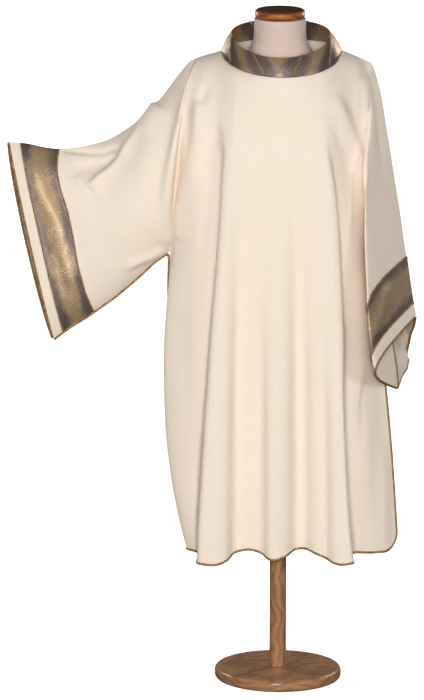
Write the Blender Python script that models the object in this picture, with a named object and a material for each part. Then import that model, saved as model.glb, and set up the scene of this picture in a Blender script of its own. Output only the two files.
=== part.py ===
"""Dalmatic on a dress form: a wide T-shaped vestment of cream cloth with lame neckband and sleeve bands.

Metres, +Z up. The origin is the middle of the base's underside, and the front of the vestment faces -Y.
Left and right are the viewer's: the left sleeve (-X) is held out, and the right one (+X) hangs.

Each panel is a sheet hung on ribs. A rib is one line of the cloth from the top seam down to the armpit
level or the underside seam of the sleeve, and on the body it goes on to the hem.
"""
import math
from collections import namedtuple

import bmesh
import bpy
from mathutils import Vector

# ---- cloth sizes -------------------------------------------------------------------------------------
CLOTH = 0.0016          # wall of the two panels
LAME = 0.0010           # wall of the sleeve bands
COLLAR = 0.0020         # wall of the neckband
GAP = 0.0003            # between pieces that are sewn together
SEAM = 0.0011           # how far each panel's edge stays from the middle of a seam
EDGE_CORD = 0.0030      # radius of the piping on the hem, the sides and the cuffs
BAND_CORD = 0.0020      # radius of the piping along the sleeve bands and on the neckband
CORD_CLEAR = 0.0008     # between a cord and the edge that it is sewn to
CUFF_CLEAR = 0.0022     # the same at the cuffs, whose edge turns sharply
BAND_MITRE = 3.0        # the most that a sharp corner of a band is moved out, in plain distances
BAND_END = 0.82         # how far the bands go on towards the underside seam, from the last row before it
UNDERARM_MITRE = 1.2    # the same mitre for the piping under a sleeve
FRONT_CORD_START = 1    # the sides' piping starts this many rows below the armpit
BACK_CORD_START = 2
CORNER = 0.045          # radius of the hem's corners
HEM_CORD_SIDES = 1      # how round a cord is; 0 gives a four-sided one
TRIM_CORD_SIDES = 0

ARM_LEVEL = 1.080       # height where the sleeves' undersides meet the sides
SHOULDER_DROP = 0.020   # how far the cloth sinks while it turns over the shoulder
FALL = 0.8              # below 1, the folds open quickly under the arms and slowly near the hem
RISE = 0.20             # how far above the arm level the hang of the skirt is already felt

# ---- neckline: one oval, split at the shoulder seams ------------------------------------------------
NECK_X = 0.005
NECK_WIDE = 0.148
NECK_SIDE_Z = 1.578
NECK_FRONT = (-0.130, -0.069)    # depth and rise of the oval at the middle of the front
NECK_BACK = (0.125, 0.029)
RIM_X = 0.002
RIM_WIDE = 0.120
RIM_SIDE_Z = 1.622
RIM_FRONT = (-0.108, -0.065)
RIM_BACK = (0.110, 0.035)

# ---- sleeves: one row for each section, from the cuff to the armhole --------------------------------
# top: on the upper seam; front, back: the middle of each half; under: on the underside seam
Section = namedtuple("Section", "name top front under back")
LEFT_SLEEVE = [
    Section("cuff", (-0.668, 0.000, 1.353), (-0.614, -0.052, 1.109),
            (-0.563, 0.000, 0.865), (-0.632, 0.050, 1.109)),
    Section("band_outside", (-0.640, 0.000, 1.350), (-0.589, -0.056, 1.114),
            (-0.539, 0.000, 0.883), (-0.602, 0.054, 1.116)),
    Section("band_inside", (-0.545, 0.000, 1.334), (-0.506, -0.060, 1.130),
            (-0.463, 0.000, 0.934), (-0.513, 0.058, 1.135)),
    Section("forearm", (-0.450, 0.006, 1.350), (-0.440, -0.066, 1.155),
            (-0.405, 0.000, 0.975), (-0.440, 0.062, 1.160)),
    Section("elbow", (-0.376, 0.006, 1.386), (-0.377, -0.074, 1.200),
            (-0.350, 0.000, 1.022), (-0.372, 0.068, 1.205)),
    Section("upper_arm", (-0.300, 0.000, 1.453), (-0.320, -0.083, 1.255),
            (-0.303, 0.000, 1.064), (-0.305, 0.075, 1.265)),
    Section("armhole", (-0.216, 0.000, 1.553), (-0.264, -0.092, 1.310),
            (-0.270, 0.000, 1.081), (-0.240, 0.085, 1.320)),
]
RIGHT_SLEEVE = [
    Section("cuff", (0.346, 0.050, 0.920), (0.231, -0.145, 0.812),
            (0.299, 0.028, 0.737), (0.335, 0.165, 0.795)),
    Section("band_outside", (0.339, 0.050, 0.951), (0.223, -0.150, 0.847),
            (0.297, 0.024, 0.765), (0.332, 0.165, 0.825)),
    Section("band_inside", (0.320, 0.045, 1.068), (0.211, -0.150, 0.968),
            (0.287, 0.018, 0.835), (0.319, 0.160, 0.925)),
    Section("forearm", (0.298, 0.035, 1.206), (0.206, -0.140, 1.070),
            (0.272, 0.012, 0.900), (0.296, 0.145, 1.040)),
    Section("elbow", (0.268, 0.025, 1.369), (0.204, -0.125, 1.180),
            (0.252, 0.006, 0.985), (0.264, 0.125, 1.170)),
    Section("upper_arm", (0.246, 0.010, 1.486), (0.204, -0.105, 1.290),
            (0.236, 0.002, 1.045), (0.236, 0.100, 1.280)),
    Section("armhole", (0.222, 0.000, 1.548), (0.213, -0.066, 1.330),
            (0.222, 0.000, 1.081), (0.206, 0.078, 1.320)),
]
LEFT_BEND = 0.20        # near 0 a section's halves are round, near 0.5 they come to a point
RIGHT_BEND = 0.45
ARMHOLE_BEND = 0.35

# ---- body: one row for each fold line ---------------------------------------------------------------
# seam: place on the shoulder seam (-1 to 0), the neckline (0 to 1) or the other shoulder seam (1 to 2)
# chest, arm: x and y there; hem: x, y and z; bow: how far the middle of the line stands out in x
Fold = namedtuple("Fold", "name seam chest arm hem bow")
FRONT_FOLDS = [
    Fold("left_roll", -0.62, (-0.240, -0.112), (-0.258, -0.035), (-0.234, 0.004, 0.332), -0.040),
    Fold("left_side", -0.30, (-0.205, -0.127), (-0.212, -0.080), (-0.221, -0.020, 0.330), -0.012),
    Fold("left_foot", 0.00, (-0.155, -0.136), (-0.163, -0.102), (-0.191, -0.050, 0.329), 0.000),
    Fold("left_crest", 0.12, (-0.130, -0.140), (-0.150, -0.133), (-0.199, -0.150, 0.329), -0.004),
    Fold("ridge_1", 0.22, (-0.108, -0.140), (-0.128, -0.143), (-0.165, -0.158, 0.325), -0.004),
    Fold("valley_1", 0.36, (-0.055, -0.140), (-0.062, -0.139), (-0.075, -0.128, 0.356), 0.000),
    Fold("ridge_2", 0.50, (-0.002, -0.140), (-0.008, -0.146), (-0.015, -0.154, 0.336), 0.000),
    Fold("valley_2", 0.64, (0.052, -0.140), (0.052, -0.139), (0.060, -0.128, 0.357), 0.000),
    Fold("ridge_3", 0.75, (0.086, -0.140), (0.112, -0.143), (0.150, -0.157, 0.326), -0.004),
    Fold("right_crest", 0.87, (0.108, -0.140), (0.137, -0.134), (0.188, -0.148, 0.331), -0.005),
    Fold("right_foot", 1.00, (0.132, -0.132), (0.150, -0.110), (0.190, -0.060, 0.328), 0.000),
    Fold("right_side", 1.50, (0.178, -0.108), (0.192, -0.070), (0.245, -0.024, 0.328), 0.000),
]
FRONT_EDGES = (Fold("left_edge", -1.0, None, None, (-0.220, 0.036, 0.338), -0.022),
               Fold("right_edge", 2.0, None, None, (0.300, 0.004, 0.330), 0.008))
BACK_FOLDS = [
    Fold("left_side", -0.50, (-0.200, 0.118), (-0.222, 0.070), (-0.226, 0.135, 0.333), -0.006),
    Fold("ridge_1", 0.00, (-0.150, 0.134), (-0.165, 0.125), (-0.175, 0.160, 0.328), -0.004),
    Fold("valley_1", 0.17, (-0.105, 0.137), (-0.110, 0.122), (-0.115, 0.128, 0.338), 0.000),
    Fold("ridge_2", 0.34, (-0.055, 0.139), (-0.055, 0.142), (-0.050, 0.165, 0.326), 0.000),
    Fold("valley_2", 0.50, (0.000, 0.140), (0.002, 0.130), (0.010, 0.132, 0.338), 0.000),
    Fold("ridge_3", 0.66, (0.055, 0.139), (0.060, 0.143), (0.070, 0.166, 0.325), 0.000),
    Fold("valley_3", 0.83, (0.100, 0.136), (0.112, 0.120), (0.128, 0.130, 0.336), 0.000),
    Fold("ridge_4", 1.00, (0.145, 0.126), (0.160, 0.112), (0.185, 0.150, 0.327), 0.000),
    Fold("right_side", 1.50, (0.180, 0.104), (0.200, 0.060), (0.245, 0.085, 0.331), 0.004),
]
BACK_EDGES = (Fold("left_edge", -1.0, None, None, (-0.236, 0.100, 0.338), -0.010),
              Fold("right_edge", 2.0, None, None, (0.272, 0.040, 0.336), 0.020))

UPPER_ROWS = 9
LOWER_ROWS = 9
SLEEVE_STEPS = [1, 3, 2, 1, 1, 1]    # columns between two sections, from the cuff to the armhole
BODY_STEPS = 2                       # columns between two folds

# ---- neckband: one row for each cord, as its angle on the oval --------------------------------------
NeckCord = namedtuple("NeckCord", "name foot rim")
NECK_CORDS = [
    NeckCord("left", 31.6, 8.6),
    NeckCord("front_left", 74.0, 54.5),
    NeckCord("front_right", 97.3, 112.5),
    NeckCord("right", 137.8, 169.0),
    NeckCord("back_right", 253.0, 234.5),
    NeckCord("back_left", 287.0, 308.0),
]
NECK_PIECES = ["front_left", "front", "front_right", "back_right", "back", "back_left"]
NECK_LIFT = 0.0040      # the neckband starts this far above the neckline
NECK_STEP = 9.0         # degrees between two points round the neckband
NECK_CORD_SIDE = 0.0009 # half the slot between two pieces, where their cord is sewn on
NECK_SWELL = 0.002      # how far the neckband's middle stands out
NECK_CORD_PARTS = (0.08, 0.50, 0.97)    # a cord's points, from the neckline (0) to the rim (1)
NECK_SLOPE = 0.055      # how far the neckband's outer side turns upwards

# ---- dress form -------------------------------------------------------------------------------------
# one row for each ring of the torso: height, half width, half depth and how square it is
Ring = namedtuple("Ring", "z wide deep square")
TORSO = [
    Ring(0.800, 0.128, 0.092, 2.0),
    Ring(0.812, 0.142, 0.103, 2.0),
    Ring(0.900, 0.152, 0.110, 2.1),
    Ring(1.000, 0.142, 0.100, 2.1),
    Ring(1.100, 0.144, 0.097, 2.1),
    Ring(1.200, 0.158, 0.103, 2.2),
    Ring(1.300, 0.172, 0.108, 2.3),
    Ring(1.400, 0.184, 0.104, 2.4),
    Ring(1.465, 0.190, 0.090, 2.5),
    Ring(1.505, 0.184, 0.074, 2.5),
    Ring(1.532, 0.160, 0.062, 2.4),
    Ring(1.552, 0.118, 0.058, 2.2),
    Ring(1.570, 0.085, 0.058, 2.0),
    Ring(1.600, 0.067, 0.060, 2.0),
    Ring(1.656, 0.063, 0.063, 2.0),
]
TORSO_SIDES = 32
NECK_TILT = math.radians(11)     # the top of the neck and its cap lean forward
CAP_RADIUS = 0.0620
CAP_THICK = 0.017
POLE_RADIUS = 0.021
BASE_RADIUS = 0.160
BASE_THICK = 0.028
BASE_EDGE = 0.009
CAP_EDGE = 0.007
EDGE_STEPS = 3
ROUND_SIDES = 48
POLE_SIDES = 24

# ---- finishes: colour, roughness and metallic -------------------------------------------------------
CREAM = ("cream_cloth", (0.88, 0.80, 0.68), 0.85, 0.0)
LAME_CLOTH = ("lame", (0.45, 0.36, 0.28), 0.45, 0.6)
GOLD = ("gold_cord", (0.50, 0.33, 0.10), 0.40, 0.7)
LINEN = ("form_linen", (0.72, 0.62, 0.54), 0.90, 0.0)
CAP_WOOD = ("cap_wood", (0.42, 0.17, 0.05), 0.30, 0.0)
STAND_WOOD = ("stand_wood", (0.45, 0.25, 0.12), 0.45, 0.0)


def clear_scene():
    for thing in list(bpy.data.objects):
        bpy.data.objects.remove(thing)


def material(finish):
    """The Principled BSDF of one finish, made once."""
    name, colour, roughness, metallic = finish
    found = bpy.data.materials.get(name)
    if found:
        return found
    made = bpy.data.materials.new(name)
    made.use_nodes = True
    shader = made.node_tree.nodes["Principled BSDF"]
    shader.inputs["Base Color"].default_value = (*colour, 1.0)
    shader.inputs["Roughness"].default_value = roughness
    shader.inputs["Metallic"].default_value = metallic
    return made


def add_object(name, data, finish):
    thing = bpy.data.objects.new(name, data)
    bpy.context.collection.objects.link(thing)
    data.materials.append(material(finish))
    return thing


def sheet_object(name, points, faces, thick, finish):
    """One sewn piece: a sheet with a wall of the given thickness."""
    mesh = bpy.data.meshes.new(name)
    mesh.from_pydata([tuple(point) for point in points], [], faces)
    thing = add_object(name, mesh, finish)
    wall = thing.modifiers.new("wall", "SOLIDIFY")
    wall.thickness = thick
    wall.offset = 0.0
    return thing


def grid_object(name, rows, thick, finish):
    """A sheet from rows of points, all of the same length."""
    width = len(rows[0])
    faces = [(j * width + i, j * width + i + 1, (j + 1) * width + i + 1, (j + 1) * width + i)
             for j in range(len(rows) - 1) for i in range(width - 1)]
    return sheet_object(name, [point for row in rows for point in row], faces, thick, finish)


def cord_object(name, points, radius, sides_level, closed=False):
    """Piping: a round cord along the points."""
    curve = bpy.data.curves.new(name, "CURVE")
    curve.dimensions = "3D"
    curve.bevel_depth = radius
    curve.bevel_resolution = sides_level
    curve.use_fill_caps = not closed
    line = curve.splines.new("POLY")
    line.points.add(len(points) - 1)
    for knot, point in zip(line.points, points):
        knot.co = (*point, 1.0)
    line.use_cyclic_u = closed
    return add_object(name, curve, GOLD)


# ---- the ribs and the sheet through them ------------------------------------------------------------
Rib = namedtuple("Rib", "seam controls hem bow")


def oval(angle, middle_x, wide, side_z, front, back):
    """A point of one of the neck's ovals; 0 is its left end and a quarter turn the middle of the front."""
    depth, rise = front if math.sin(angle) >= 0 else back
    reach = abs(math.sin(angle))
    return Vector((middle_x - wide * math.cos(angle), depth * reach, side_z + rise * reach))


def neckline(angle):
    return oval(angle, NECK_X, NECK_WIDE, NECK_SIDE_Z, NECK_FRONT, NECK_BACK)


def rim(angle):
    return oval(angle, RIM_X, RIM_WIDE, RIM_SIDE_Z, RIM_FRONT, RIM_BACK)


def seam_point(seam, side):
    """The top of a rib on the shoulder seams or the neckline; side is -1 for the front, 1 for the back."""
    if seam < 0.0:
        place = neckline(0.0).lerp(Vector(LEFT_SLEEVE[-1].top), -seam)
    elif seam > 1.0:
        place = neckline(math.pi).lerp(Vector(RIGHT_SLEEVE[-1].top), seam - 1.0)
    else:
        place = neckline(-side * math.pi * seam)
    return place


def section_controls(section, side, bend):
    """The four control points of half a sleeve section."""
    top, under = Vector(section.top), Vector(section.under)
    middle = Vector(section.front if side < 0 else section.back)
    bulge = middle - (top + under) / 2
    chord = under - top
    return [top, top + bulge * 4 / 3 + chord * bend, under + bulge * 4 / 3 - chord * bend, under]


def fold_controls(fold, side):
    """The four control points of a fold line, from the top seam to the arm level."""
    top = seam_point(fold.seam, side)
    arm = Vector((*fold.arm, ARM_LEVEL))
    hang = (arm - Vector(fold.hem)).normalized()
    chest = Vector((*fold.chest, top.z - SHOULDER_DROP))
    return [top, chest, arm + hang * RISE, arm]


def make_ribs(side, folds, edges):
    """All ribs of a panel, from the left cuff to the right one."""
    left = [Rib(None, section_controls(s, side, LEFT_BEND), None, 0.0) for s in LEFT_SLEEVE[:-1]]
    right = [Rib(None, section_controls(s, side, RIGHT_BEND), None, 0.0) for s in RIGHT_SLEEVE[:-1]]
    armholes = [Rib(edge.seam, section_controls(sleeve[-1], side, ARMHOLE_BEND), Vector(edge.hem), edge.bow)
                for edge, sleeve in zip(edges, (LEFT_SLEEVE, RIGHT_SLEEVE))]
    body = [Rib(f.seam, fold_controls(f, side), Vector(f.hem), f.bow) for f in folds]
    return left + [armholes[0]] + body + [armholes[1]] + right[::-1]


def slopes(values, gaps):
    """Slopes of a curve through the values that never swings past a value."""
    steps = [(b - a) / gap for a, b, gap in zip(values, values[1:], gaps)]
    middle = [0.0 if before * after <= 0 else 2 * before * after / (before + after)
              for before, after in zip(steps, steps[1:])]
    return [steps[0]] + middle + [steps[-1]]


class Track:
    """A smooth curve through one value for each rib, read at a rib number with a fraction."""

    def __init__(self, values, gaps):
        self.values = values
        self.gaps = gaps
        axes = [slopes(list(axis), gaps) for axis in zip(*values)]
        self.slopes = [Vector(slope) for slope in zip(*axes)]

    def at(self, place):
        first = min(int(place), len(self.values) - 2)
        part = place - first
        gap = self.gaps[first]
        return (self.values[first] * (2 * part ** 3 - 3 * part ** 2 + 1)
                + self.values[first + 1] * (3 * part ** 2 - 2 * part ** 3)
                + self.slopes[first] * gap * (part ** 3 - 2 * part ** 2 + part)
                + self.slopes[first + 1] * gap * (part ** 3 - part ** 2))


class Panel:
    """The front or the back of the vestment, as a sheet over its ribs."""

    def __init__(self, side, folds, edges):
        self.side = side
        self.ribs = make_ribs(side, folds, edges)
        self.left = len(LEFT_SLEEVE) - 1
        self.right = len(self.ribs) - len(RIGHT_SLEEVE)
        middles = [(rib.controls[1] + rib.controls[2] + rib.controls[3]) / 3 for rib in self.ribs]
        self.gaps = [(b - a).length for a, b in zip(middles, middles[1:])]
        self.body = self.ribs[self.left:self.right + 1]
        self.body_gaps = self.gaps[self.left:self.right]
        self.tracks = [Track([rib.controls[i] for rib in self.ribs], self.gaps) for i in range(4)]
        self.hem = Track([rib.hem for rib in self.body], self.body_gaps)
        self.bow = Track([Vector((rib.bow, 0.0, 0.0)) for rib in self.body], self.body_gaps)

    def columns(self):
        """Rib numbers of the sheet's columns."""
        steps = SLEEVE_STEPS + [BODY_STEPS] * (self.right - self.left) + SLEEVE_STEPS[::-1]
        places = [rib + i / count for rib, count in enumerate(steps) for i in range(count)]
        return places + [float(len(steps))]

    def seam_shift(self, height):
        """Keeps the edge clear of the other panel along the top and underside seams."""
        return Vector((0.0, self.side * SEAM * abs(2 * height - 1) ** 6, 0.0))

    def control(self, number, place):
        if number == 0 and self.left <= place <= self.right:
            seams = [rib.seam for rib in self.body]
            first = min(int(place) - self.left, len(seams) - 2)
            part = place - self.left - first
            return seam_point(seams[first] + (seams[first + 1] - seams[first]) * part, self.side)
        return self.tracks[number].at(place)

    def upper(self, place, height):
        """A point between the top seam (0) and the underside seam or arm level (1)."""
        rest = 1 - height
        weights = [rest ** 3, 3 * height * rest ** 2, 3 * height ** 2 * rest, height ** 3]
        point = sum((self.control(i, place) * weights[i] for i in range(4)), Vector())
        return point + self.seam_shift(height)

    def lower(self, place, height):
        """A point between the arm level (0) and the hem (1)."""
        place, height = self.round_corner(place, height)
        arm = self.upper(place, 1.0)
        local = place - self.left
        hem = self.hem.at(local)
        bow = self.bow.at(local).x
        deep = height ** FALL
        return Vector((arm.x + (hem.x - arm.x) * height + bow * 4 * height * (1 - height),
                       arm.y + (hem.y - arm.y) * deep,
                       arm.z + (hem.z - arm.z) * height))

    def round_corner(self, place, height):
        """Moves a place near a lower corner onto the corner's arc."""
        tall = CORNER / (ARM_LEVEL - self.body[0].hem.z)
        for edge, sign, gap in ((self.left, 1, self.body_gaps[0]), (self.right, -1, self.body_gaps[-1])):
            wide = CORNER / gap
            across = 1 - (place - edge) * sign / wide
            down = 1 - (1 - height) / tall
            if across > 0 and down > 0:
                shrink = max(across, down) / math.hypot(across, down)
                return edge + sign * wide * (1 - across * shrink), 1 - tall * (1 - down * shrink)
        return place, height

    def grids(self):
        """Rows of points of the upper part, and of the part below the arms."""
        columns = self.columns()
        body = [place for place in columns if self.left <= place <= self.right]
        upper = [[self.upper(place, j / UPPER_ROWS) for place in columns] for j in range(UPPER_ROWS + 1)]
        lower = [[self.lower(place, j / LOWER_ROWS) for place in body] for j in range(LOWER_ROWS + 1)]
        return upper, lower


def build_panel(name, panel):
    """The T-shaped sheet: the upper rows across both sleeves, the lower rows across the body."""
    upper, lower = panel.grids()
    wide = len(upper[0])
    first = panel.columns().index(float(panel.left))
    narrow = len(lower[0])
    points = [point for row in upper for point in row] + [point for row in lower[1:] for point in row]

    def number(row, column):
        if row <= UPPER_ROWS:
            return row * wide + column
        return (UPPER_ROWS + 1) * wide + (row - UPPER_ROWS - 1) * narrow + column - first

    faces = []
    for row in range(UPPER_ROWS + LOWER_ROWS):
        span = range(wide - 1) if row < UPPER_ROWS else range(first, first + narrow - 1)
        for column in span:
            corners = [number(row, column), number(row + 1, column),
                       number(row + 1, column + 1), number(row, column + 1)]
            faces.append(corners if panel.side < 0 else corners[::-1])
    sheet_object(name, points, faces, CLOTH, CREAM)
    return upper, lower


def moved_out(edge, inside, distance, closed=False):
    """Points beside an edge: moved away from the row inside it, square to the edge."""
    moved = []
    last = len(edge) - 1
    for i, (point, inner) in enumerate(zip(edge, inside)):
        before = edge[i - 1] if i or closed else point
        after = edge[(i + 1) % len(edge)] if i < last or closed else point
        along = (after - before).normalized()
        away = point - inner
        away -= along * away.dot(along)
        moved.append(point + away.normalized() * distance)
    return moved


def build_edge_cord(name, lower, start):
    """Piping down one side, along the hem and up the other side."""
    left, left_inner = [row[0] for row in lower], [row[1] for row in lower]
    right, right_inner = [row[-1] for row in lower], [row[-2] for row in lower]
    edge = left[start:] + lower[-1][1:-1] + right[start:][::-1]
    inner = (left_inner[start:-1] + [lower[-2][1]] + lower[-2][1:-1] + [lower[-2][-2]]
             + right_inner[start:-1][::-1])
    cord_object(name, moved_out(edge, inner, EDGE_CORD + CORD_CLEAR), EDGE_CORD, HEM_CORD_SIDES)


class Sleeve:
    """The rings of one sleeve: up its front from the underside, over the top and down its back."""

    def __init__(self, front, back, columns):
        self.rings = []
        for column in columns:
            rising = [row[column] for row in front[::-1]]
            falling = [row[column] for row in back]
            under = (rising[0] + falling[-1]) / 2
            top = (rising[-1] + falling[0]) / 2
            self.rings.append([under] + rising[1:-1] + [top] + falling[1:-1])

    def lifted(self, number, distance, mitre):
        """A ring moved out from the cloth, with its corners kept as far from both their sides."""
        ring = self.rings[number]
        centre = sum(ring, Vector()) / len(ring)
        start, end = self.rings[max(number - 1, 0)], self.rings[number + 1]
        shifts = []
        for i, point in enumerate(ring):
            along = (end[i] - start[i]).normalized()
            before = (point - ring[i - 1]).cross(along).normalized()
            after = (ring[(i + 1) % len(ring)] - point).cross(along).normalized()
            normal = before + after
            shifts.append(normal.normalized() * distance * min(2 / normal.length, mitre))
        outward = sum(shift.dot(point - centre) for shift, point in zip(shifts, ring))
        return [point + shift * math.copysign(1.0, outward) for shift, point in zip(shifts, ring)]

    def band_row(self, number, distance):
        """A lifted ring, open at the underside, where the band ends beside the seam."""
        ring = self.lifted(number, distance, BAND_MITRE)
        under = self.rings[number][0]
        first = ring[1] + (under - self.rings[number][1]) * BAND_END
        last = ring[-1] + (under - self.rings[number][-1]) * BAND_END
        return [first] + ring[1:] + [last]


def build_sleeve_trim(name, sleeve, first, last):
    """Lame band between two rings, the cords along its edges and the cuff's cord."""
    lift = CLOTH / 2 + GAP + LAME / 2 + SEAM
    strip = [sleeve.band_row(i, lift) for i in range(first, last + 1)]
    grid_object(name + "_sleeve_band", strip, LAME, LAME_CLOTH)
    cord_lift = CLOTH / 2 + BAND_CORD + SEAM
    for label, ring, inside in (("outer", first, first + 1), ("inner", last, last - 1)):
        edge, inner = sleeve.band_row(ring, cord_lift), sleeve.band_row(inside, cord_lift)
        cord = moved_out(edge, inner, BAND_CORD + CORD_CLEAR)
        cord_object(name + "_band_" + label + "_cord", cord, BAND_CORD, TRIM_CORD_SIDES)
    cuff = moved_out(sleeve.rings[0], sleeve.rings[1], EDGE_CORD + CUFF_CLEAR, closed=True)
    cord_object(name + "_cuff_cord", cuff, EDGE_CORD, HEM_CORD_SIDES, closed=True)


def build_underarm_cord(name, sleeve):
    """Piping under a sleeve, from near the cuff almost to the armpit."""
    lift = CLOTH / 2 + EDGE_CORD + SEAM
    route = [sleeve.lifted(i, lift, UNDERARM_MITRE)[0] for i in range(1, len(sleeve.rings) - 1)]
    cord_object(name, route, EDGE_CORD, HEM_CORD_SIDES)


def neck_piece_rows(start, end):
    """Three rows of one neckband piece, between two cords."""
    foot_turn = (end.foot - start.foot) % 360
    rim_turn = (end.rim - start.rim) % 360
    count = max(3, round(max(foot_turn, rim_turn) / NECK_STEP))
    rows = [[], [], []]
    for i in range(count + 1):
        part = i / count
        foot_angle = math.radians(start.foot + foot_turn * part)
        rim_angle = math.radians(start.rim + rim_turn * part)
        foot, top = neckline(foot_angle), rim(rim_angle)
        foot = foot + (top - foot).normalized() * NECK_LIFT
        middle = (foot + top) / 2
        middle += Vector((middle.x - NECK_X, middle.y, 0.0)).normalized() * NECK_SWELL
        for row, point in zip(rows, (foot, middle, top)):
            row.append(point)
    for row in rows:
        row[0] += (row[1] - row[0]).normalized() * NECK_CORD_SIDE
        row[-1] += (row[-2] - row[-1]).normalized() * NECK_CORD_SIDE
    return rows


def build_neckband():
    """Six lame pieces in a ring, and the cords sewn over the slots between them."""
    for i, piece in enumerate(NECK_PIECES):
        start, end = NECK_CORDS[i], NECK_CORDS[(i + 1) % len(NECK_CORDS)]
        grid_object("neckband_" + piece, neck_piece_rows(start, end), COLLAR, LAME_CLOTH)
    for cord in NECK_CORDS:
        foot, top = neckline(math.radians(cord.foot)), rim(math.radians(cord.rim))
        route = []
        for i, part in enumerate(NECK_CORD_PARTS):
            point = foot.lerp(top, part)
            outward = Vector((point.x - NECK_X, point.y, NECK_SLOPE)).normalized()
            swell = NECK_SWELL if i == 1 else 0.0
            route.append(point + outward * (COLLAR / 2 + GAP + BAND_CORD + swell))
        cord_object("neckband_cord_" + cord.name, route, BAND_CORD, TRIM_CORD_SIDES)


def build_torso():
    """The linen torso: rings of an oval, closed below and at the neck."""
    mesh = bmesh.new()
    rings = []
    for ring in TORSO:
        verts = []
        lean = math.tan(NECK_TILT) if ring is TORSO[-1] else 0.0
        for i in range(TORSO_SIDES):
            angle = 2 * math.pi * i / TORSO_SIDES
            c, s = math.cos(angle), math.sin(angle)
            x = ring.wide * math.copysign(abs(c) ** (2 / ring.square), c)
            y = ring.deep * math.copysign(abs(s) ** (2 / ring.square), s)
            verts.append(mesh.verts.new((x, y, ring.z + y * lean)))
        rings.append(verts)
    for low, high in zip(rings, rings[1:]):
        for i in range(TORSO_SIDES):
            j = (i + 1) % TORSO_SIDES
            mesh.faces.new((low[i], low[j], high[j], high[i]))
    mesh.faces.new(rings[0][::-1])
    mesh.faces.new(rings[-1])
    data = bpy.data.meshes.new("torso")
    mesh.to_mesh(data)
    mesh.free()
    add_object("torso", data, LINEN)


def build_round(name, radius, thick, location, tilt, edge, finish, sides=ROUND_SIDES):
    """A turned piece of wood: a disc or a rod with rounded edges."""
    bpy.ops.mesh.primitive_cylinder_add(vertices=sides, radius=radius, depth=thick, location=location)
    thing = bpy.context.object
    thing.name = name
    thing.rotation_euler = (tilt, 0.0, 0.0)
    thing.data.materials.append(material(finish))
    if edge:
        soft = thing.modifiers.new("edge", "BEVEL")
        soft.width = edge
        soft.segments = EDGE_STEPS
        soft.limit_method = "ANGLE"


def build_form():
    build_torso()
    neck_top = TORSO[-1].z
    cap_middle = CAP_THICK / 2 + GAP
    build_round("neck_cap", CAP_RADIUS, CAP_THICK,
                (0.0, -math.sin(NECK_TILT) * cap_middle, neck_top + math.cos(NECK_TILT) * cap_middle),
                NECK_TILT, CAP_EDGE, CAP_WOOD)
    pole_low, pole_high = BASE_THICK + GAP, TORSO[0].z - GAP
    build_round("pole", POLE_RADIUS, pole_high - pole_low, (0.0, 0.0, (pole_low + pole_high) / 2),
                0.0, 0.0, STAND_WOOD, sides=POLE_SIDES)
    build_round("base", BASE_RADIUS, BASE_THICK, (0.0, 0.0, BASE_THICK / 2), 0.0, BASE_EDGE, STAND_WOOD)


def main():
    clear_scene()
    front = Panel(-1, FRONT_FOLDS, FRONT_EDGES)
    back = Panel(1, BACK_FOLDS, BACK_EDGES)
    front_upper, front_lower = build_panel("front_panel", front)
    back_upper, back_lower = build_panel("back_panel", back)
    build_edge_cord("front_edge_cord", front_lower, FRONT_CORD_START)
    build_edge_cord("back_edge_cord", back_lower, BACK_CORD_START)

    band_start = SLEEVE_STEPS[0]
    band_end = band_start + SLEEVE_STEPS[1]
    count = sum(SLEEVE_STEPS)
    for name, columns in (("left", range(count + 1)), ("right", range(-1, -2 - count, -1))):
        sleeve = Sleeve(front_upper, back_upper, columns)
        build_sleeve_trim(name, sleeve, band_start, band_end)
        build_underarm_cord(name + "_underarm_cord", sleeve)
    build_neckband()
    build_form()


main()
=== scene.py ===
"""The look of a dalmatic on its dress form: woven cloth, lame bands, twisted piping, linen and wood.

Metres, +Z up, and the front of the vestment faces -Y. Left and right are the viewer's.

Each panel is a sheet hung on ribs. A rib is one line of the cloth from the top seam down to the armpit
level or the underside seam of the sleeve, and on the body it goes on to the hem. The creases are then
raised on that sheet or sunk into it, one row of a table for each.
"""
import math
from collections import namedtuple

import bpy
import numpy as np
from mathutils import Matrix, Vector, noise


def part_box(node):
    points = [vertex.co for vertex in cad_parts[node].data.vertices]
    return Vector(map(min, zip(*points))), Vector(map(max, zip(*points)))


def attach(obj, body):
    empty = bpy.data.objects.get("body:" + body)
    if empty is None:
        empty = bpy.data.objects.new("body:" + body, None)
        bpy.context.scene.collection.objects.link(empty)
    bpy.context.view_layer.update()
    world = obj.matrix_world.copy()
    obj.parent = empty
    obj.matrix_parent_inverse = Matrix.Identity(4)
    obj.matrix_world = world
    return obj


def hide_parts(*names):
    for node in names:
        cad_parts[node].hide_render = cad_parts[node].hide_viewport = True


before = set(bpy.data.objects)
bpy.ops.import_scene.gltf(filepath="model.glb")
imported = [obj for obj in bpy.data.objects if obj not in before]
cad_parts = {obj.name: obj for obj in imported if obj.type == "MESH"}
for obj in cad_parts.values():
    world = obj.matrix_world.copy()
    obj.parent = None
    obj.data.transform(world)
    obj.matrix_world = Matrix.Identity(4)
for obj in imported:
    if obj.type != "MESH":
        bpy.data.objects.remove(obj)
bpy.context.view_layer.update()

bl_info = {
    "name": "Dalmatic on a dress form",
    "version": (1, 0, 0),
    "blender": (4, 5, 0),
    "location": "3D View > Sidebar > Dalmatic",
    "description": "Builds a wide-sleeved vestment with lame bands on its dress form",
    "category": "Object",
}

# ---- how the cloth hangs ----------------------------------------------------------------------------
ARM_LEVEL = 1.080       # height where the sleeves' undersides meet the sides
SHOULDER_DROP = 0.020   # how far the cloth sinks while it turns over the shoulder
FALL = 0.8              # below 1, the folds open quickly under the arms and slowly near the hem
RISE = 0.20             # how far above the arm level the hang of the skirt is already felt
CORNER = 0.045          # radius of the hem's corners
SEAM = 0.0006           # how far each panel's edge stays from the middle of a seam

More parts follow.
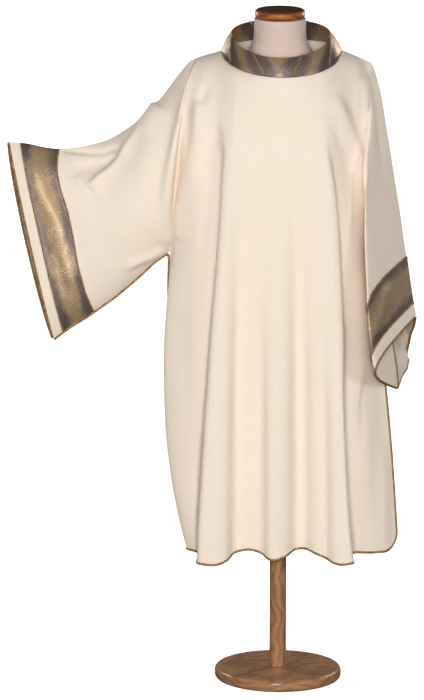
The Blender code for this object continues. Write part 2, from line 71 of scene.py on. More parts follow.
# ---- neckline and the rim of the neckband: each is one oval -----------------------------------------
# front, back: depth and rise of the oval at the middle of the front and of the back
Oval = namedtuple("Oval", "x wide side_z front back")
NECKLINE = Oval(0.005, 0.148, 1.578, (-0.130, -0.069), (0.125, 0.029))
RIM = Oval(0.002, 0.120, 1.622, (-0.108, -0.065), (0.110, 0.035))

# ---- sleeves: one row for each section, from the cuff to the armhole --------------------------------
# top: on the upper seam; front, back: the middle of each half; under: on the underside seam
Section = namedtuple("Section", "name top front under back")
LEFT_SLEEVE = [
    Section("cuff", (-0.668, 0.000, 1.353), (-0.614, -0.052, 1.109),
            (-0.563, 0.000, 0.865), (-0.632, 0.050, 1.109)),
    Section("band_outside", (-0.640, 0.000, 1.350), (-0.589, -0.056, 1.114),
            (-0.539, 0.000, 0.883), (-0.602, 0.054, 1.116)),
    Section("band_inside", (-0.545, 0.000, 1.334), (-0.506, -0.060, 1.130),
            (-0.463, 0.000, 0.934), (-0.513, 0.058, 1.135)),
    Section("forearm", (-0.450, 0.006, 1.350), (-0.440, -0.066, 1.155),
            (-0.405, 0.000, 0.975), (-0.440, 0.062, 1.160)),
    Section("elbow", (-0.376, 0.006, 1.386), (-0.377, -0.074, 1.200),
            (-0.350, 0.000, 1.022), (-0.372, 0.068, 1.205)),
    Section("upper_arm", (-0.300, 0.000, 1.453), (-0.320, -0.083, 1.255),
            (-0.303, 0.000, 1.064), (-0.305, 0.075, 1.265)),
    Section("armhole", (-0.216, 0.000, 1.553), (-0.264, -0.092, 1.310),
            (-0.270, 0.000, 1.081), (-0.240, 0.085, 1.320)),
]
RIGHT_SLEEVE = [
    Section("cuff", (0.346, 0.050, 0.920), (0.231, -0.145, 0.812),
            (0.299, 0.028, 0.737), (0.335, 0.165, 0.795)),
    Section("band_outside", (0.339, 0.050, 0.951), (0.223, -0.150, 0.847),
            (0.297, 0.024, 0.765), (0.332, 0.165, 0.825)),
    Section("band_inside", (0.320, 0.045, 1.068), (0.211, -0.150, 0.968),
            (0.287, 0.018, 0.835), (0.319, 0.160, 0.925)),
    Section("forearm", (0.298, 0.035, 1.206), (0.206, -0.140, 1.070),
            (0.272, 0.012, 0.900), (0.296, 0.145, 1.040)),
    Section("elbow", (0.268, 0.025, 1.369), (0.204, -0.125, 1.180),
            (0.252, 0.006, 0.985), (0.264, 0.125, 1.170)),
    Section("upper_arm", (0.246, 0.010, 1.486), (0.204, -0.105, 1.290),
            (0.236, 0.002, 1.045), (0.236, 0.100, 1.280)),
    Section("armhole", (0.222, 0.000, 1.548), (0.213, -0.066, 1.330),
            (0.222, 0.000, 1.081), (0.206, 0.078, 1.320)),
]
BAND_START, BAND_END = 1, 2      # the sections between which the lame band lies
LEFT_BEND = 0.20        # near 0 a section's halves are round, near 0.5 they come to a point
RIGHT_BEND = 0.45
ARMHOLE_BEND = 0.35

# ---- body: one row for each fold line ---------------------------------------------------------------
# seam: place on the shoulder seam (-1 to 0), the neckline (0 to 1) or the other shoulder seam (1 to 2)
# chest, arm: x and y there; hem: x, y and z; bow: how far the middle of the line stands out in x
Fold = namedtuple("Fold", "name seam chest arm hem bow")
FRONT_FOLDS = [
    Fold("left_roll", -0.62, (-0.240, -0.112), (-0.258, -0.035), (-0.234, 0.004, 0.332), -0.040),
    Fold("left_side", -0.30, (-0.205, -0.127), (-0.212, -0.080), (-0.221, -0.020, 0.330), -0.012),
    Fold("left_foot", 0.00, (-0.155, -0.136), (-0.163, -0.102), (-0.191, -0.050, 0.329), 0.000),
    Fold("left_crest", 0.12, (-0.130, -0.140), (-0.150, -0.133), (-0.199, -0.150, 0.329), -0.004),
    Fold("ridge_1", 0.22, (-0.108, -0.140), (-0.128, -0.143), (-0.165, -0.158, 0.325), -0.004),
    Fold("valley_1", 0.36, (-0.055, -0.140), (-0.062, -0.139), (-0.075, -0.128, 0.356), 0.000),
    Fold("ridge_2", 0.50, (-0.002, -0.140), (-0.008, -0.146), (-0.015, -0.154, 0.336), 0.000),
    Fold("valley_2", 0.64, (0.052, -0.140), (0.052, -0.139), (0.060, -0.128, 0.357), 0.000),
    Fold("ridge_3", 0.75, (0.086, -0.140), (0.112, -0.143), (0.150, -0.157, 0.326), -0.004),
    Fold("right_crest", 0.87, (0.108, -0.140), (0.137, -0.134), (0.188, -0.148, 0.331), -0.005),
    Fold("right_foot", 1.00, (0.132, -0.132), (0.150, -0.110), (0.190, -0.060, 0.328), 0.000),
    Fold("right_side", 1.50, (0.178, -0.108), (0.192, -0.070), (0.245, -0.024, 0.328), 0.000),
]
FRONT_EDGES = (Fold("left_edge", -1.0, None, None, (-0.220, 0.036, 0.338), -0.022),
               Fold("right_edge", 2.0, None, None, (0.300, 0.004, 0.330), 0.008))
BACK_FOLDS = [
    Fold("left_side", -0.50, (-0.200, 0.118), (-0.222, 0.070), (-0.226, 0.135, 0.333), -0.006),
    Fold("ridge_1", 0.00, (-0.150, 0.134), (-0.165, 0.125), (-0.175, 0.160, 0.328), -0.004),
    Fold("valley_1", 0.17, (-0.105, 0.137), (-0.110, 0.122), (-0.115, 0.128, 0.338), 0.000),
    Fold("ridge_2", 0.34, (-0.055, 0.139), (-0.055, 0.142), (-0.050, 0.165, 0.326), 0.000),
    Fold("valley_2", 0.50, (0.000, 0.140), (0.002, 0.130), (0.010, 0.132, 0.338), 0.000),
    Fold("ridge_3", 0.66, (0.055, 0.139), (0.060, 0.143), (0.070, 0.166, 0.325), 0.000),
    Fold("valley_3", 0.83, (0.100, 0.136), (0.112, 0.120), (0.128, 0.130, 0.336), 0.000),
    Fold("ridge_4", 1.00, (0.145, 0.126), (0.160, 0.112), (0.185, 0.150, 0.327), 0.000),
    Fold("right_side", 1.50, (0.180, 0.104), (0.200, 0.060), (0.245, 0.085, 0.331), 0.004),
]
BACK_EDGES = (Fold("left_edge", -1.0, None, None, (-0.236, 0.100, 0.338), -0.010),
              Fold("right_edge", 2.0, None, None, (0.272, 0.040, 0.336), 0.020))

# ---- the flat cut of each panel: width and height of its outline, then its area ----------------------
FRONT_CUT = ((1.66, 1.30), 1.20)
BACK_CUT = ((1.66, 1.27), 1.10)

# ---- creases: one row for each, as a line of (x, z) points seen from the front ----------------------
LEFT_CREST = [(-0.127, 1.378), (-0.136, 1.277), (-0.150, 1.071), (-0.164, 0.901), (-0.176, 0.729),
              (-0.186, 0.605), (-0.195, 0.481), (-0.198, 0.323)]
RIGHT_CREST = [(0.102, 1.378), (0.112, 1.315), (0.126, 1.231), (0.138, 1.096), (0.149, 0.901),
               (0.158, 0.729), (0.172, 0.481), (0.185, 0.381), (0.190, 0.323)]
CREST_TO_TROUGH = 0.014     # from each crest outwards to the trough beside it


def beside(line, shift):
    """The same line further to the left or right."""
    return [(x + shift, z) for x, z in line]


# height: how far it stands out of the cloth, below 0 for a trough; left, right: its reach to each side
# of a line that runs downwards; start, end: the share of the line over which it dies away there
Crease = namedtuple("Crease", "name line height left right start end")
FRONT_CREASES = [
    Crease("left_crest", LEFT_CREST, 0.0055, 0.009, 0.030, 0.06, 0.0),
    Crease("beside_left_crest", beside(LEFT_CREST, -CREST_TO_TROUGH), -0.0105, 0.020, 0.009, 0.06, 0.0),
    Crease("short_left", [(-0.139, 1.372), (-0.143, 1.330), (-0.146, 1.270), (-0.149, 1.200)],
           0.0030, 0.007, 0.007, 0.15, 0.50),
    Crease("right_crest", RIGHT_CREST, 0.0055, 0.030, 0.009, 0.10, 0.0),
    Crease("beside_right_crest", beside(RIGHT_CREST, CREST_TO_TROUGH), -0.0080, 0.009, 0.020, 0.10, 0.0),
    Crease("right_deep", [(0.150, 0.895), (0.161, 0.721), (0.175, 0.470), (0.189, 0.320)],
           -0.0180, 0.007, 0.022, 0.50, 0.0),
    Crease("left_valley", [(-0.100, 1.330), (-0.101, 1.096), (-0.102, 0.852), (-0.103, 0.605),
                           (-0.103, 0.320)], -0.0200, 0.018, 0.036, 0.70, 0.0),
    Crease("left_bright", [(-0.078, 1.200), (-0.082, 0.800), (-0.084, 0.320)],
           0.0060, 0.016, 0.026, 0.60, 0.0),
    Crease("middle_step", [(-0.048, 1.050), (-0.047, 0.730), (-0.046, 0.482), (-0.046, 0.320)],
           -0.0080, 0.016, 0.011, 0.60, 0.0),
    Crease("middle_valley", [(0.026, 1.361), (0.037, 1.096), (0.043, 0.852), (0.047, 0.605),
                             (0.048, 0.320)], -0.0200, 0.018, 0.034, 0.70, 0.0),
    Crease("middle_bright", [(0.070, 1.250), (0.073, 0.800), (0.076, 0.320)],
           0.0060, 0.014, 0.022, 0.60, 0.0),
    Crease("right_step", [(0.100, 1.000), (0.106, 0.656), (0.110, 0.320)],
           -0.0090, 0.014, 0.016, 0.55, 0.0),
    Crease("left_side_fold", [(-0.224, 0.980), (-0.226, 0.760), (-0.222, 0.560), (-0.216, 0.400)],
           -0.0060, 0.020, 0.024, 0.40, 0.25),
    Crease("right_side_curve", [(0.222, 0.790), (0.208, 0.715), (0.207, 0.652), (0.202, 0.617),
                                (0.188, 0.590)], -0.0060, 0.008, 0.022, 0.25, 0.40),
    Crease("right_side_fold", [(0.262, 0.640), (0.266, 0.500), (0.268, 0.330)],
           0.0050, 0.020, 0.016, 0.40, 0.0),
    Crease("shoulder_outer", [(-0.206, 1.530), (-0.216, 1.513), (-0.226, 1.495), (-0.240, 1.442),
                              (-0.250, 1.379), (-0.263, 1.306), (-0.274, 1.238), (-0.280, 1.175),
                              (-0.277, 1.095)], 0.0060, 0.018, 0.013, 0.16, 0.05),
    Crease("outside_shoulder_outer", [(-0.228, 1.514), (-0.244, 1.480), (-0.258, 1.430), (-0.274, 1.360),
                                      (-0.290, 1.290), (-0.300, 1.220), (-0.302, 1.140)],
           -0.0070, 0.026, 0.013, 0.15, 0.25),
    Crease("inside_shoulder_outer", [(-0.216, 1.475), (-0.227, 1.430), (-0.236, 1.372), (-0.248, 1.300),
                                     (-0.260, 1.225), (-0.268, 1.165), (-0.268, 1.110)],
           -0.0030, 0.012, 0.012, 0.30, 0.10),
    Crease("shoulder_inner", [(-0.202, 1.498), (-0.203, 1.439), (-0.208, 1.372), (-0.219, 1.314),
                              (-0.229, 1.268), (-0.239, 1.232), (-0.249, 1.176), (-0.255, 1.107)],
           0.0065, 0.011, 0.024, 0.20, 0.05),
    Crease("shoulder_third", [(-0.237, 1.384), (-0.234, 1.330), (-0.233, 1.272)],
           0.0030, 0.007, 0.007, 0.30, 0.30),
    Crease("collarbone", [(-0.176, 1.496), (-0.188, 1.470), (-0.199, 1.446)],
           -0.0060, 0.012, 0.012, 0.35, 0.15),
    Crease("breast", [(-0.147, 1.400), (-0.166, 1.358), (-0.184, 1.318), (-0.198, 1.262)],
           -0.0065, 0.014, 0.016, 0.25, 0.35),
    Crease("sleeve_ridge", [(-0.300, 1.450), (-0.340, 1.391), (-0.374, 1.342), (-0.415, 1.290),
                            (-0.446, 1.264), (-0.472, 1.238)], 0.0120, 0.010, 0.026, 0.05, 0.06),
    Crease("under_sleeve_ridge", [(-0.322, 1.400), (-0.352, 1.352), (-0.390, 1.298), (-0.426, 1.262),
                                  (-0.458, 1.232)], -0.0070, 0.012, 0.022, 0.20, 0.15),
    Crease("sleeve_nose", [(-0.512, 1.272), (-0.490, 1.254), (-0.470, 1.239)],
           0.0060, 0.010, 0.012, 0.35, 0.10),
    Crease("sleeve_hollow", [(-0.372, 1.322), (-0.420, 1.308), (-0.470, 1.294), (-0.520, 1.290)],
           -0.0080, 0.016, 0.020, 0.20, 0.30),
    Crease("sleeve_seam", [(-0.385, 1.336), (-0.410, 1.337), (-0.450, 1.326), (-0.541, 1.334)],
           -0.0050, 0.007, 0.007, 0.10, 0.10),
    Crease("underside_wrinkle", [(-0.284, 1.094), (-0.312, 1.073), (-0.357, 1.056), (-0.395, 1.030)],
           0.0070, 0.012, 0.009, 0.20, 0.35),
    Crease("low_sleeve_swell", [(-0.330, 1.250), (-0.400, 1.150), (-0.440, 1.080)],
           0.0060, 0.045, 0.045, 0.40, 0.40),
    Crease("band_swell", [(-0.594, 1.318), (-0.586, 1.232), (-0.555, 1.171), (-0.540, 1.114),
                          (-0.517, 1.016), (-0.505, 0.986)], 0.0045, 0.016, 0.020, 0.20, 0.15),
    Crease("beside_band_swell", [(-0.612, 1.240), (-0.592, 1.175), (-0.575, 1.110), (-0.552, 1.020)],
           -0.0035, 0.014, 0.014, 0.30, 0.30),
    Crease("band_hollow", [(-0.556, 1.300), (-0.545, 1.235), (-0.520, 1.175), (-0.500, 1.110),
                           (-0.482, 1.040)], -0.0042, 0.016, 0.018, 0.25, 0.25),
    Crease("right_band_swell", [(0.268, 1.020), (0.256, 0.972), (0.240, 0.925), (0.229, 0.880)],
           0.0050, 0.012, 0.014, 0.25, 0.20),
    Crease("right_diagonal", [(0.120, 1.480), (0.146, 1.432), (0.178, 1.358), (0.196, 1.298),
                              (0.200, 1.225)], 0.0080, 0.026, 0.014, 0.20, 0.20),
    Crease("under_right_diagonal", [(0.112, 1.440), (0.134, 1.390), (0.160, 1.318), (0.176, 1.250),
                                    (0.180, 1.150)], -0.0060, 0.018, 0.018, 0.30, 0.40),
    Crease("right_apex", [(0.205, 1.526), (0.212, 1.432), (0.220, 1.335), (0.226, 1.214)],
           0.0070, 0.012, 0.018, 0.12, 0.35),
    Crease("right_dark", [(0.218, 1.533), (0.232, 1.490), (0.242, 1.432), (0.249, 1.364), (0.256, 1.278)],
           -0.0080, 0.012, 0.012, 0.15, 0.35),
]
BACK_CREASES = [
    Crease("left_shoulder", [(-0.200, 1.520), (-0.232, 1.430), (-0.252, 1.310), (-0.262, 1.180),
                             (-0.262, 1.100)], 0.0090, 0.018, 0.011, 0.15, 0.15),
    Crease("beside_left_shoulder", [(-0.186, 1.500), (-0.212, 1.420), (-0.231, 1.300), (-0.242, 1.180)],
           -0.0070, 0.012, 0.018, 0.25, 0.25),
    Crease("left_second", [(-0.160, 1.480), (-0.185, 1.390), (-0.206, 1.270), (-0.214, 1.150)],
           0.0060, 0.014, 0.016, 0.25, 0.35),
    Crease("sleeve_back", [(-0.290, 1.450), (-0.345, 1.350), (-0.400, 1.265), (-0.455, 1.210)],
           0.0090, 0.012, 0.024, 0.20, 0.30),
    Crease("sleeve_back_low", [(-0.300, 1.130), (-0.350, 1.105), (-0.410, 1.070)],
           0.0060, 0.012, 0.014, 0.30, 0.40),
    Crease("right_shoulder", [(0.200, 1.520), (0.214, 1.420), (0.226, 1.300), (0.232, 1.180)],
           0.0080, 0.018, 0.012, 0.20, 0.25),
    Crease("beside_right_shoulder", [(0.176, 1.500), (0.194, 1.400), (0.205, 1.290), (0.212, 1.170)],
           -0.0060, 0.016, 0.012, 0.25, 0.30),
    Crease("left_ridge", [(-0.166, 1.180), (-0.170, 0.900), (-0.173, 0.600), (-0.175, 0.320)],
           0.0060, 0.012, 0.026, 0.30, 0.0),
    Crease("beside_left_ridge", [(-0.146, 1.150), (-0.150, 0.900), (-0.152, 0.600), (-0.154, 0.320)],
           -0.0070, 0.016, 0.018, 0.40, 0.0),
    Crease("middle_ridge", [(-0.053, 1.220), (-0.052, 0.900), (-0.051, 0.600), (-0.050, 0.320)],
           0.0060, 0.022, 0.012, 0.35, 0.0),
    Crease("middle_trough", [(-0.026, 1.150), (-0.024, 0.900), (-0.020, 0.600), (-0.018, 0.320)],
           -0.0080, 0.014, 0.018, 0.40, 0.0),
    Crease("right_ridge", [(0.062, 1.180), (0.065, 0.850), (0.068, 0.600), (0.070, 0.320)],
           0.0060, 0.012, 0.024, 0.35, 0.0),
    Crease("right_trough", [(0.096, 1.100), (0.101, 0.850), (0.106, 0.600), (0.110, 0.320)],
           -0.0070, 0.018, 0.014, 0.45, 0.0),
    Crease("cuff_fold", [(0.327, 0.865), (0.322, 0.830), (0.324, 0.790), (0.334, 0.752)],
           -0.0070, 0.010, 0.012, 0.20, 0.10),
    Crease("second_cuff_fold", [(0.352, 0.890), (0.350, 0.840), (0.342, 0.780)],
           -0.0070, 0.012, 0.010, 0.25, 0.10),
]

# ---- neckband: one row for each cord, as its angle on the neckline and on the rim -------------------
NeckCord = namedtuple("NeckCord", "name foot rim")
NECK_CORDS = [
    NeckCord("left", 31.6, 8.6),
    NeckCord("front_left", 74.0, 54.5),
    NeckCord("front_right", 97.3, 112.5),
    NeckCord("right", 137.8, 169.0),
    NeckCord("back_right", 253.0, 234.5),
    NeckCord("back_left", 287.0, 308.0),
]
NECK_PIECES = ["front_left", "front", "front_right", "back_right", "back", "back_left"]

# ---- dress form: height, half width and half depth of each ring of the torso ------------------------
Ring = namedtuple("Ring", "z wide deep")
TORSO = [
    Ring(0.800, 0.128, 0.092), Ring(0.812, 0.142, 0.103), Ring(0.900, 0.152, 0.110),
    Ring(1.000, 0.142, 0.100), Ring(1.100, 0.144, 0.097), Ring(1.200, 0.158, 0.103),
    Ring(1.300, 0.172, 0.108), Ring(1.400, 0.184, 0.104), Ring(1.465, 0.190, 0.090),
    Ring(1.505, 0.184, 0.074), Ring(1.532, 0.160, 0.062), Ring(1.552, 0.118, 0.058),
    Ring(1.570, 0.085, 0.058), Ring(1.600, 0.067, 0.060), Ring(1.656, 0.063, 0.063),
]
NECK_TILT = math.radians(11)     # the top of the neck and its cap lean forward
CAP_THICK = 0.0220
CAP_GAP = 0.0003                 # between the neck and its cap
POLE_EDGE = 0.0008               # rounding of the pole's ends


# ---- settings that a user would change --------------------------------------------------------------
def length(name, description, default):
    """A setting in metres."""
    return bpy.props.FloatProperty(name=name, description=description, default=default,
                                   min=0.0, unit="LENGTH", precision=4)


def colour(name, description, default):
    """A colour setting."""
    return bpy.props.FloatVectorProperty(name=name, description=description, default=default,
                                         size=3, min=0.0, max=1.0, subtype="COLOR")


def factor(name, description, default, top=1.0):
    """A setting from 0 up to its top value."""
    return bpy.props.FloatProperty(name=name, description=description, default=default,
                                   min=0.0, max=top, subtype="FACTOR")


def power(name, description, default):
    """The power of a light, in watts."""
    return bpy.props.FloatProperty(name=name, description=description, default=default,
                                   min=0.0, unit="POWER")


class ClothSettings(bpy.types.PropertyGroup):
    """The cream cloth of the two panels."""
    wall: length("Wall", "Thickness of the cloth", 0.0014)
    step: length("Step", "Distance between two points of the sheet", 0.0056)
    skirt_step: length("Skirt step", "Distance between two rows below the arms", 0.0112)
    softness: length("Softness", "Height of the slow, uneven swell of the cloth", 0.0022)
    crease: factor("Creases", "Strength of all creases", 1.0, 2.0)
    thread: length("Thread", "Distance between two threads of the weave", 0.0011)
    cream: colour("Cream", "Colour of the cloth", (0.855, 0.745, 0.632))
    slub: colour("Slub", "Colour of the thicker threads", (0.76, 0.66, 0.53))


class TrimSettings(bpy.types.PropertyGroup):
    """The lame pieces and the piping."""
    wall: length("Lame wall", "Thickness of the sleeve bands", 0.0008)
    collar_wall: length("Neckband wall", "Thickness of the neckband", 0.0018)
    edge_cord: length("Edge cord", "Radius of the piping on the hem, sides and cuffs", 0.0037)
    band_cord: length("Band cord", "Radius of the piping on the bands and the neckband", 0.0023)
    pitch: length("Pitch", "Length of one turn of the piping's twist", 0.0064)
    border: length("Border", "Width of the grey border of a lame piece", 0.0230)
    rib: length("Rib", "Distance between two ribs of the lame", 0.0026)
    lame_gold: colour("Lame gold", "Middle of the lame pieces", (0.50, 0.34, 0.19))
    lame_grey: colour("Lame grey", "Border of the lame pieces", (0.215, 0.160, 0.160))
    stripe: colour("Stripe", "Dark stripes of the border", (0.075, 0.052, 0.055))
    thread: colour("Thread", "Dark threads of the ribs", (0.17, 0.12, 0.10))
    # painted highlight: a light colour mixed into the lame's flecks, standing in for their glinting in the
    # light
    painted_highlight: colour("Glint", "Bright flecks of the lame", (1.0, 0.84, 0.56))
    gold: colour("Gold thread", "Light strand of the piping", (0.66, 0.43, 0.13))
    # mixed into the light strand in small random patches along the cord
    dull_gold: colour("Dull gold", "Worn places of the light strand", (0.36, 0.21, 0.07))
    fine_gold: colour("Fine gold", "Fine thread wound round the light strand", (0.85, 0.65, 0.28))
    brown: colour("Brown thread", "Dark strand of the piping", (0.115, 0.060, 0.024))


class FormSettings(bpy.types.PropertyGroup):
    """The dress form."""
    linen: colour("Linen", "Colour of the torso", (0.68, 0.535, 0.46))
    cap: colour("Cap", "Light grain of the neck cap", (0.38, 0.125, 0.025))
    cap_dark: colour("Cap grain", "Dark grain of the neck cap", (0.18, 0.055, 0.012))
    # painted shade: the cap's flat top is painted this dark brown, which stands in for the shade on the top
    cap_top: colour("Cap top", "Flat top of the neck cap", (0.075, 0.028, 0.010))
    wood: colour("Stand", "Light grain of the pole and the base", (0.40, 0.20, 0.09))
    wood_dark: colour("Stand grain", "Dark grain of the pole and the base", (0.25, 0.11, 0.045))
    cap_edge: length("Cap edge", "Rounding of the cap", 0.0090)
    base_edge: length("Base edge", "Rounding of the base", 0.0090)
    sides: bpy.props.IntProperty(name="Sides", description="Sides of a turned piece", default=96, min=24)


class StageSettings(bpy.types.PropertyGroup):
    """Floor, light and camera."""
    floor: colour("Floor", "Colour of the floor and the backdrop", (1.0, 0.995, 0.99))
    floor_return: factor("Floor return", "How much light the floor throws back", 0.15)
    front: power("Front", "Power of the light in front", 208.0)
    left: power("Left", "Power of the light from the left", 52.0)
    right: power("Right", "Power of the light from the right", 58.0)
    back: power("Back", "Power of each light from behind", 34.0)
    glow: factor("Glow", "How far the floor and the backdrop shine by themselves", 0.80)
    sky: factor("Sky", "Brightness of the light from all round", 0.05, 3.0)


SETTINGS = {"dalmatic_cloth": ClothSettings, "dalmatic_trim": TrimSettings,
            "dalmatic_form": FormSettings, "dalmatic_stage": StageSettings}


def setting(group):
    """One of the scene's four groups of settings."""
    return getattr(bpy.context.scene, group)


# ---- lines and directions ---------------------------------------------------------------------------
def unit(vectors):
    """The same directions, each of length 1."""
    return vectors / np.linalg.norm(vectors, axis=-1, keepdims=True)


def walked_along(line):
    """How far along a line each of its points lies."""
    return np.concatenate([[0.0], np.linalg.norm(np.diff(line, axis=0), axis=1).cumsum()])


def smooth_line(line, steps=6):
    """A finer line through the given points."""
    points = np.array(line, float)
    ends = np.vstack([2 * points[0] - points[1], points, 2 * points[-1] - points[-2]])
    made = []
    for a, b, c, d in zip(ends, ends[1:], ends[2:], ends[3:]):
        for i in range(steps):
            t = i / steps
            made.append(0.5 * (2 * b + (c - a) * t + (2 * a - 5 * b + 4 * c - d) * t ** 2
                               + (3 * b - a - 3 * c + d) * t ** 3))
    return np.array(made + [points[-1]])


def even_line(points, step, closed=False):
    """The same line with its points a step apart."""
    points = np.asarray(points, float)
    if closed:
        points = np.vstack([points, points[:1]])
    walked = walked_along(points)
    count = max(2, round(walked[-1] / step))
    places = np.linspace(0, walked[-1], count + 1)
    line = np.stack([np.interp(places, walked, points[:, i]) for i in range(3)], axis=1)
    return line[:-1] if closed else line


def eased_line(points, rounds, closed=False):
    """The line with its corners eased; open ends stay."""
    points = np.asarray(points, float)
    for _ in range(rounds):
        before, after = np.roll(points, 1, axis=0), np.roll(points, -1, axis=0)
        eased = points / 2 + (before + after) / 4
        if not closed:
            eased[0], eased[-1] = points[0], points[-1]
        points = eased
    return points


# ---- the ribs and the sheet through them ------------------------------------------------------------
Rib = namedtuple("Rib", "seam controls hem bow")


def on_oval(oval, angle):
    """Points of a neck oval; 0 is its left end and a quarter turn the middle of the front."""
    angle = np.asarray(angle, float)
    ahead = np.sin(angle) >= 0
    depth = np.where(ahead, oval.front[0], oval.back[0])
    rise = np.where(ahead, oval.front[1], oval.back[1])
    reach = np.abs(np.sin(angle))
    return np.stack([oval.x - oval.wide * np.cos(angle), depth * reach, oval.side_z + rise * reach], axis=-1)


def seam_points(seam, side):
    """Tops of ribs on the shoulder seams or the neckline; side is -1 for the front, 1 for the back."""
    seam = np.asarray(seam, float)
    left, right = on_oval(NECKLINE, 0.0), on_oval(NECKLINE, math.pi)
    neck = on_oval(NECKLINE, -side * math.pi * np.clip(seam, 0.0, 1.0))
    before = np.clip(-seam, 0.0, 1.0)[..., None]
    after = np.clip(seam - 1.0, 0.0, 1.0)[..., None]
    return (neck + before * (np.array(LEFT_SLEEVE[-1].top) - left)
            + after * (np.array(RIGHT_SLEEVE[-1].top) - right))


def section_controls(section, side, bend):
    """The four control points of half a sleeve section."""
    top, under = np.array(section.top), np.array(section.under)
    middle = np.array(section.front if side < 0 else section.back)
    bulge = (middle - (top + under) / 2) * 4 / 3
    chord = (under - top) * bend
    return [top, top + bulge + chord, under + bulge - chord, under]


def fold_controls(fold, side):
    """The four control points of a fold line, from the top seam to the arm level."""
    top = seam_points(fold.seam, side)
    arm = np.array([*fold.arm, ARM_LEVEL])
    hang = arm - np.array(fold.hem)
    chest = np.array([*fold.chest, top[2] - SHOULDER_DROP])
    return [top, chest, arm + unit(hang) * RISE, arm]


class Track:
    """A smooth curve through one row of values for each rib, read at rib numbers with a fraction."""

    def __init__(self, values, gaps):
        self.values = np.array(values, float)
        self.gaps = np.array(gaps, float)[:, None]
        steps = np.diff(self.values, axis=0) / self.gaps
        before, after = steps[:-1], steps[1:]
        alike = before * after > 0
        middle = np.where(alike, 2 * before * after / np.where(alike, before + after, 1.0), 0.0)
        self.slopes = np.vstack([steps[:1], middle, steps[-1:]])

    def at(self, place):
        """The values at each place."""
        first = np.minimum(place.astype(int), len(self.values) - 2)
        part = (place - first)[:, None]
        gap = self.gaps[first]
        return (self.values[first] * (2 * part ** 3 - 3 * part ** 2 + 1)
                + self.values[first + 1] * (3 * part ** 2 - 2 * part ** 3)
                + self.slopes[first] * gap * (part ** 3 - 2 * part ** 2 + part)
                + self.slopes[first + 1] * gap * (part ** 3 - part ** 2))


TOP_EASE = 0.8           # how many ribs to each side the top line is evened out
EASE_GROWTH = 3.0        # it grows this many times as fast as the way down, until it is full
EASE_SHIFTS = np.linspace(-1.0, 1.0, 7)
SEAM_GRIP = 6            # the higher, the narrower the strip that a seam holds off its middle


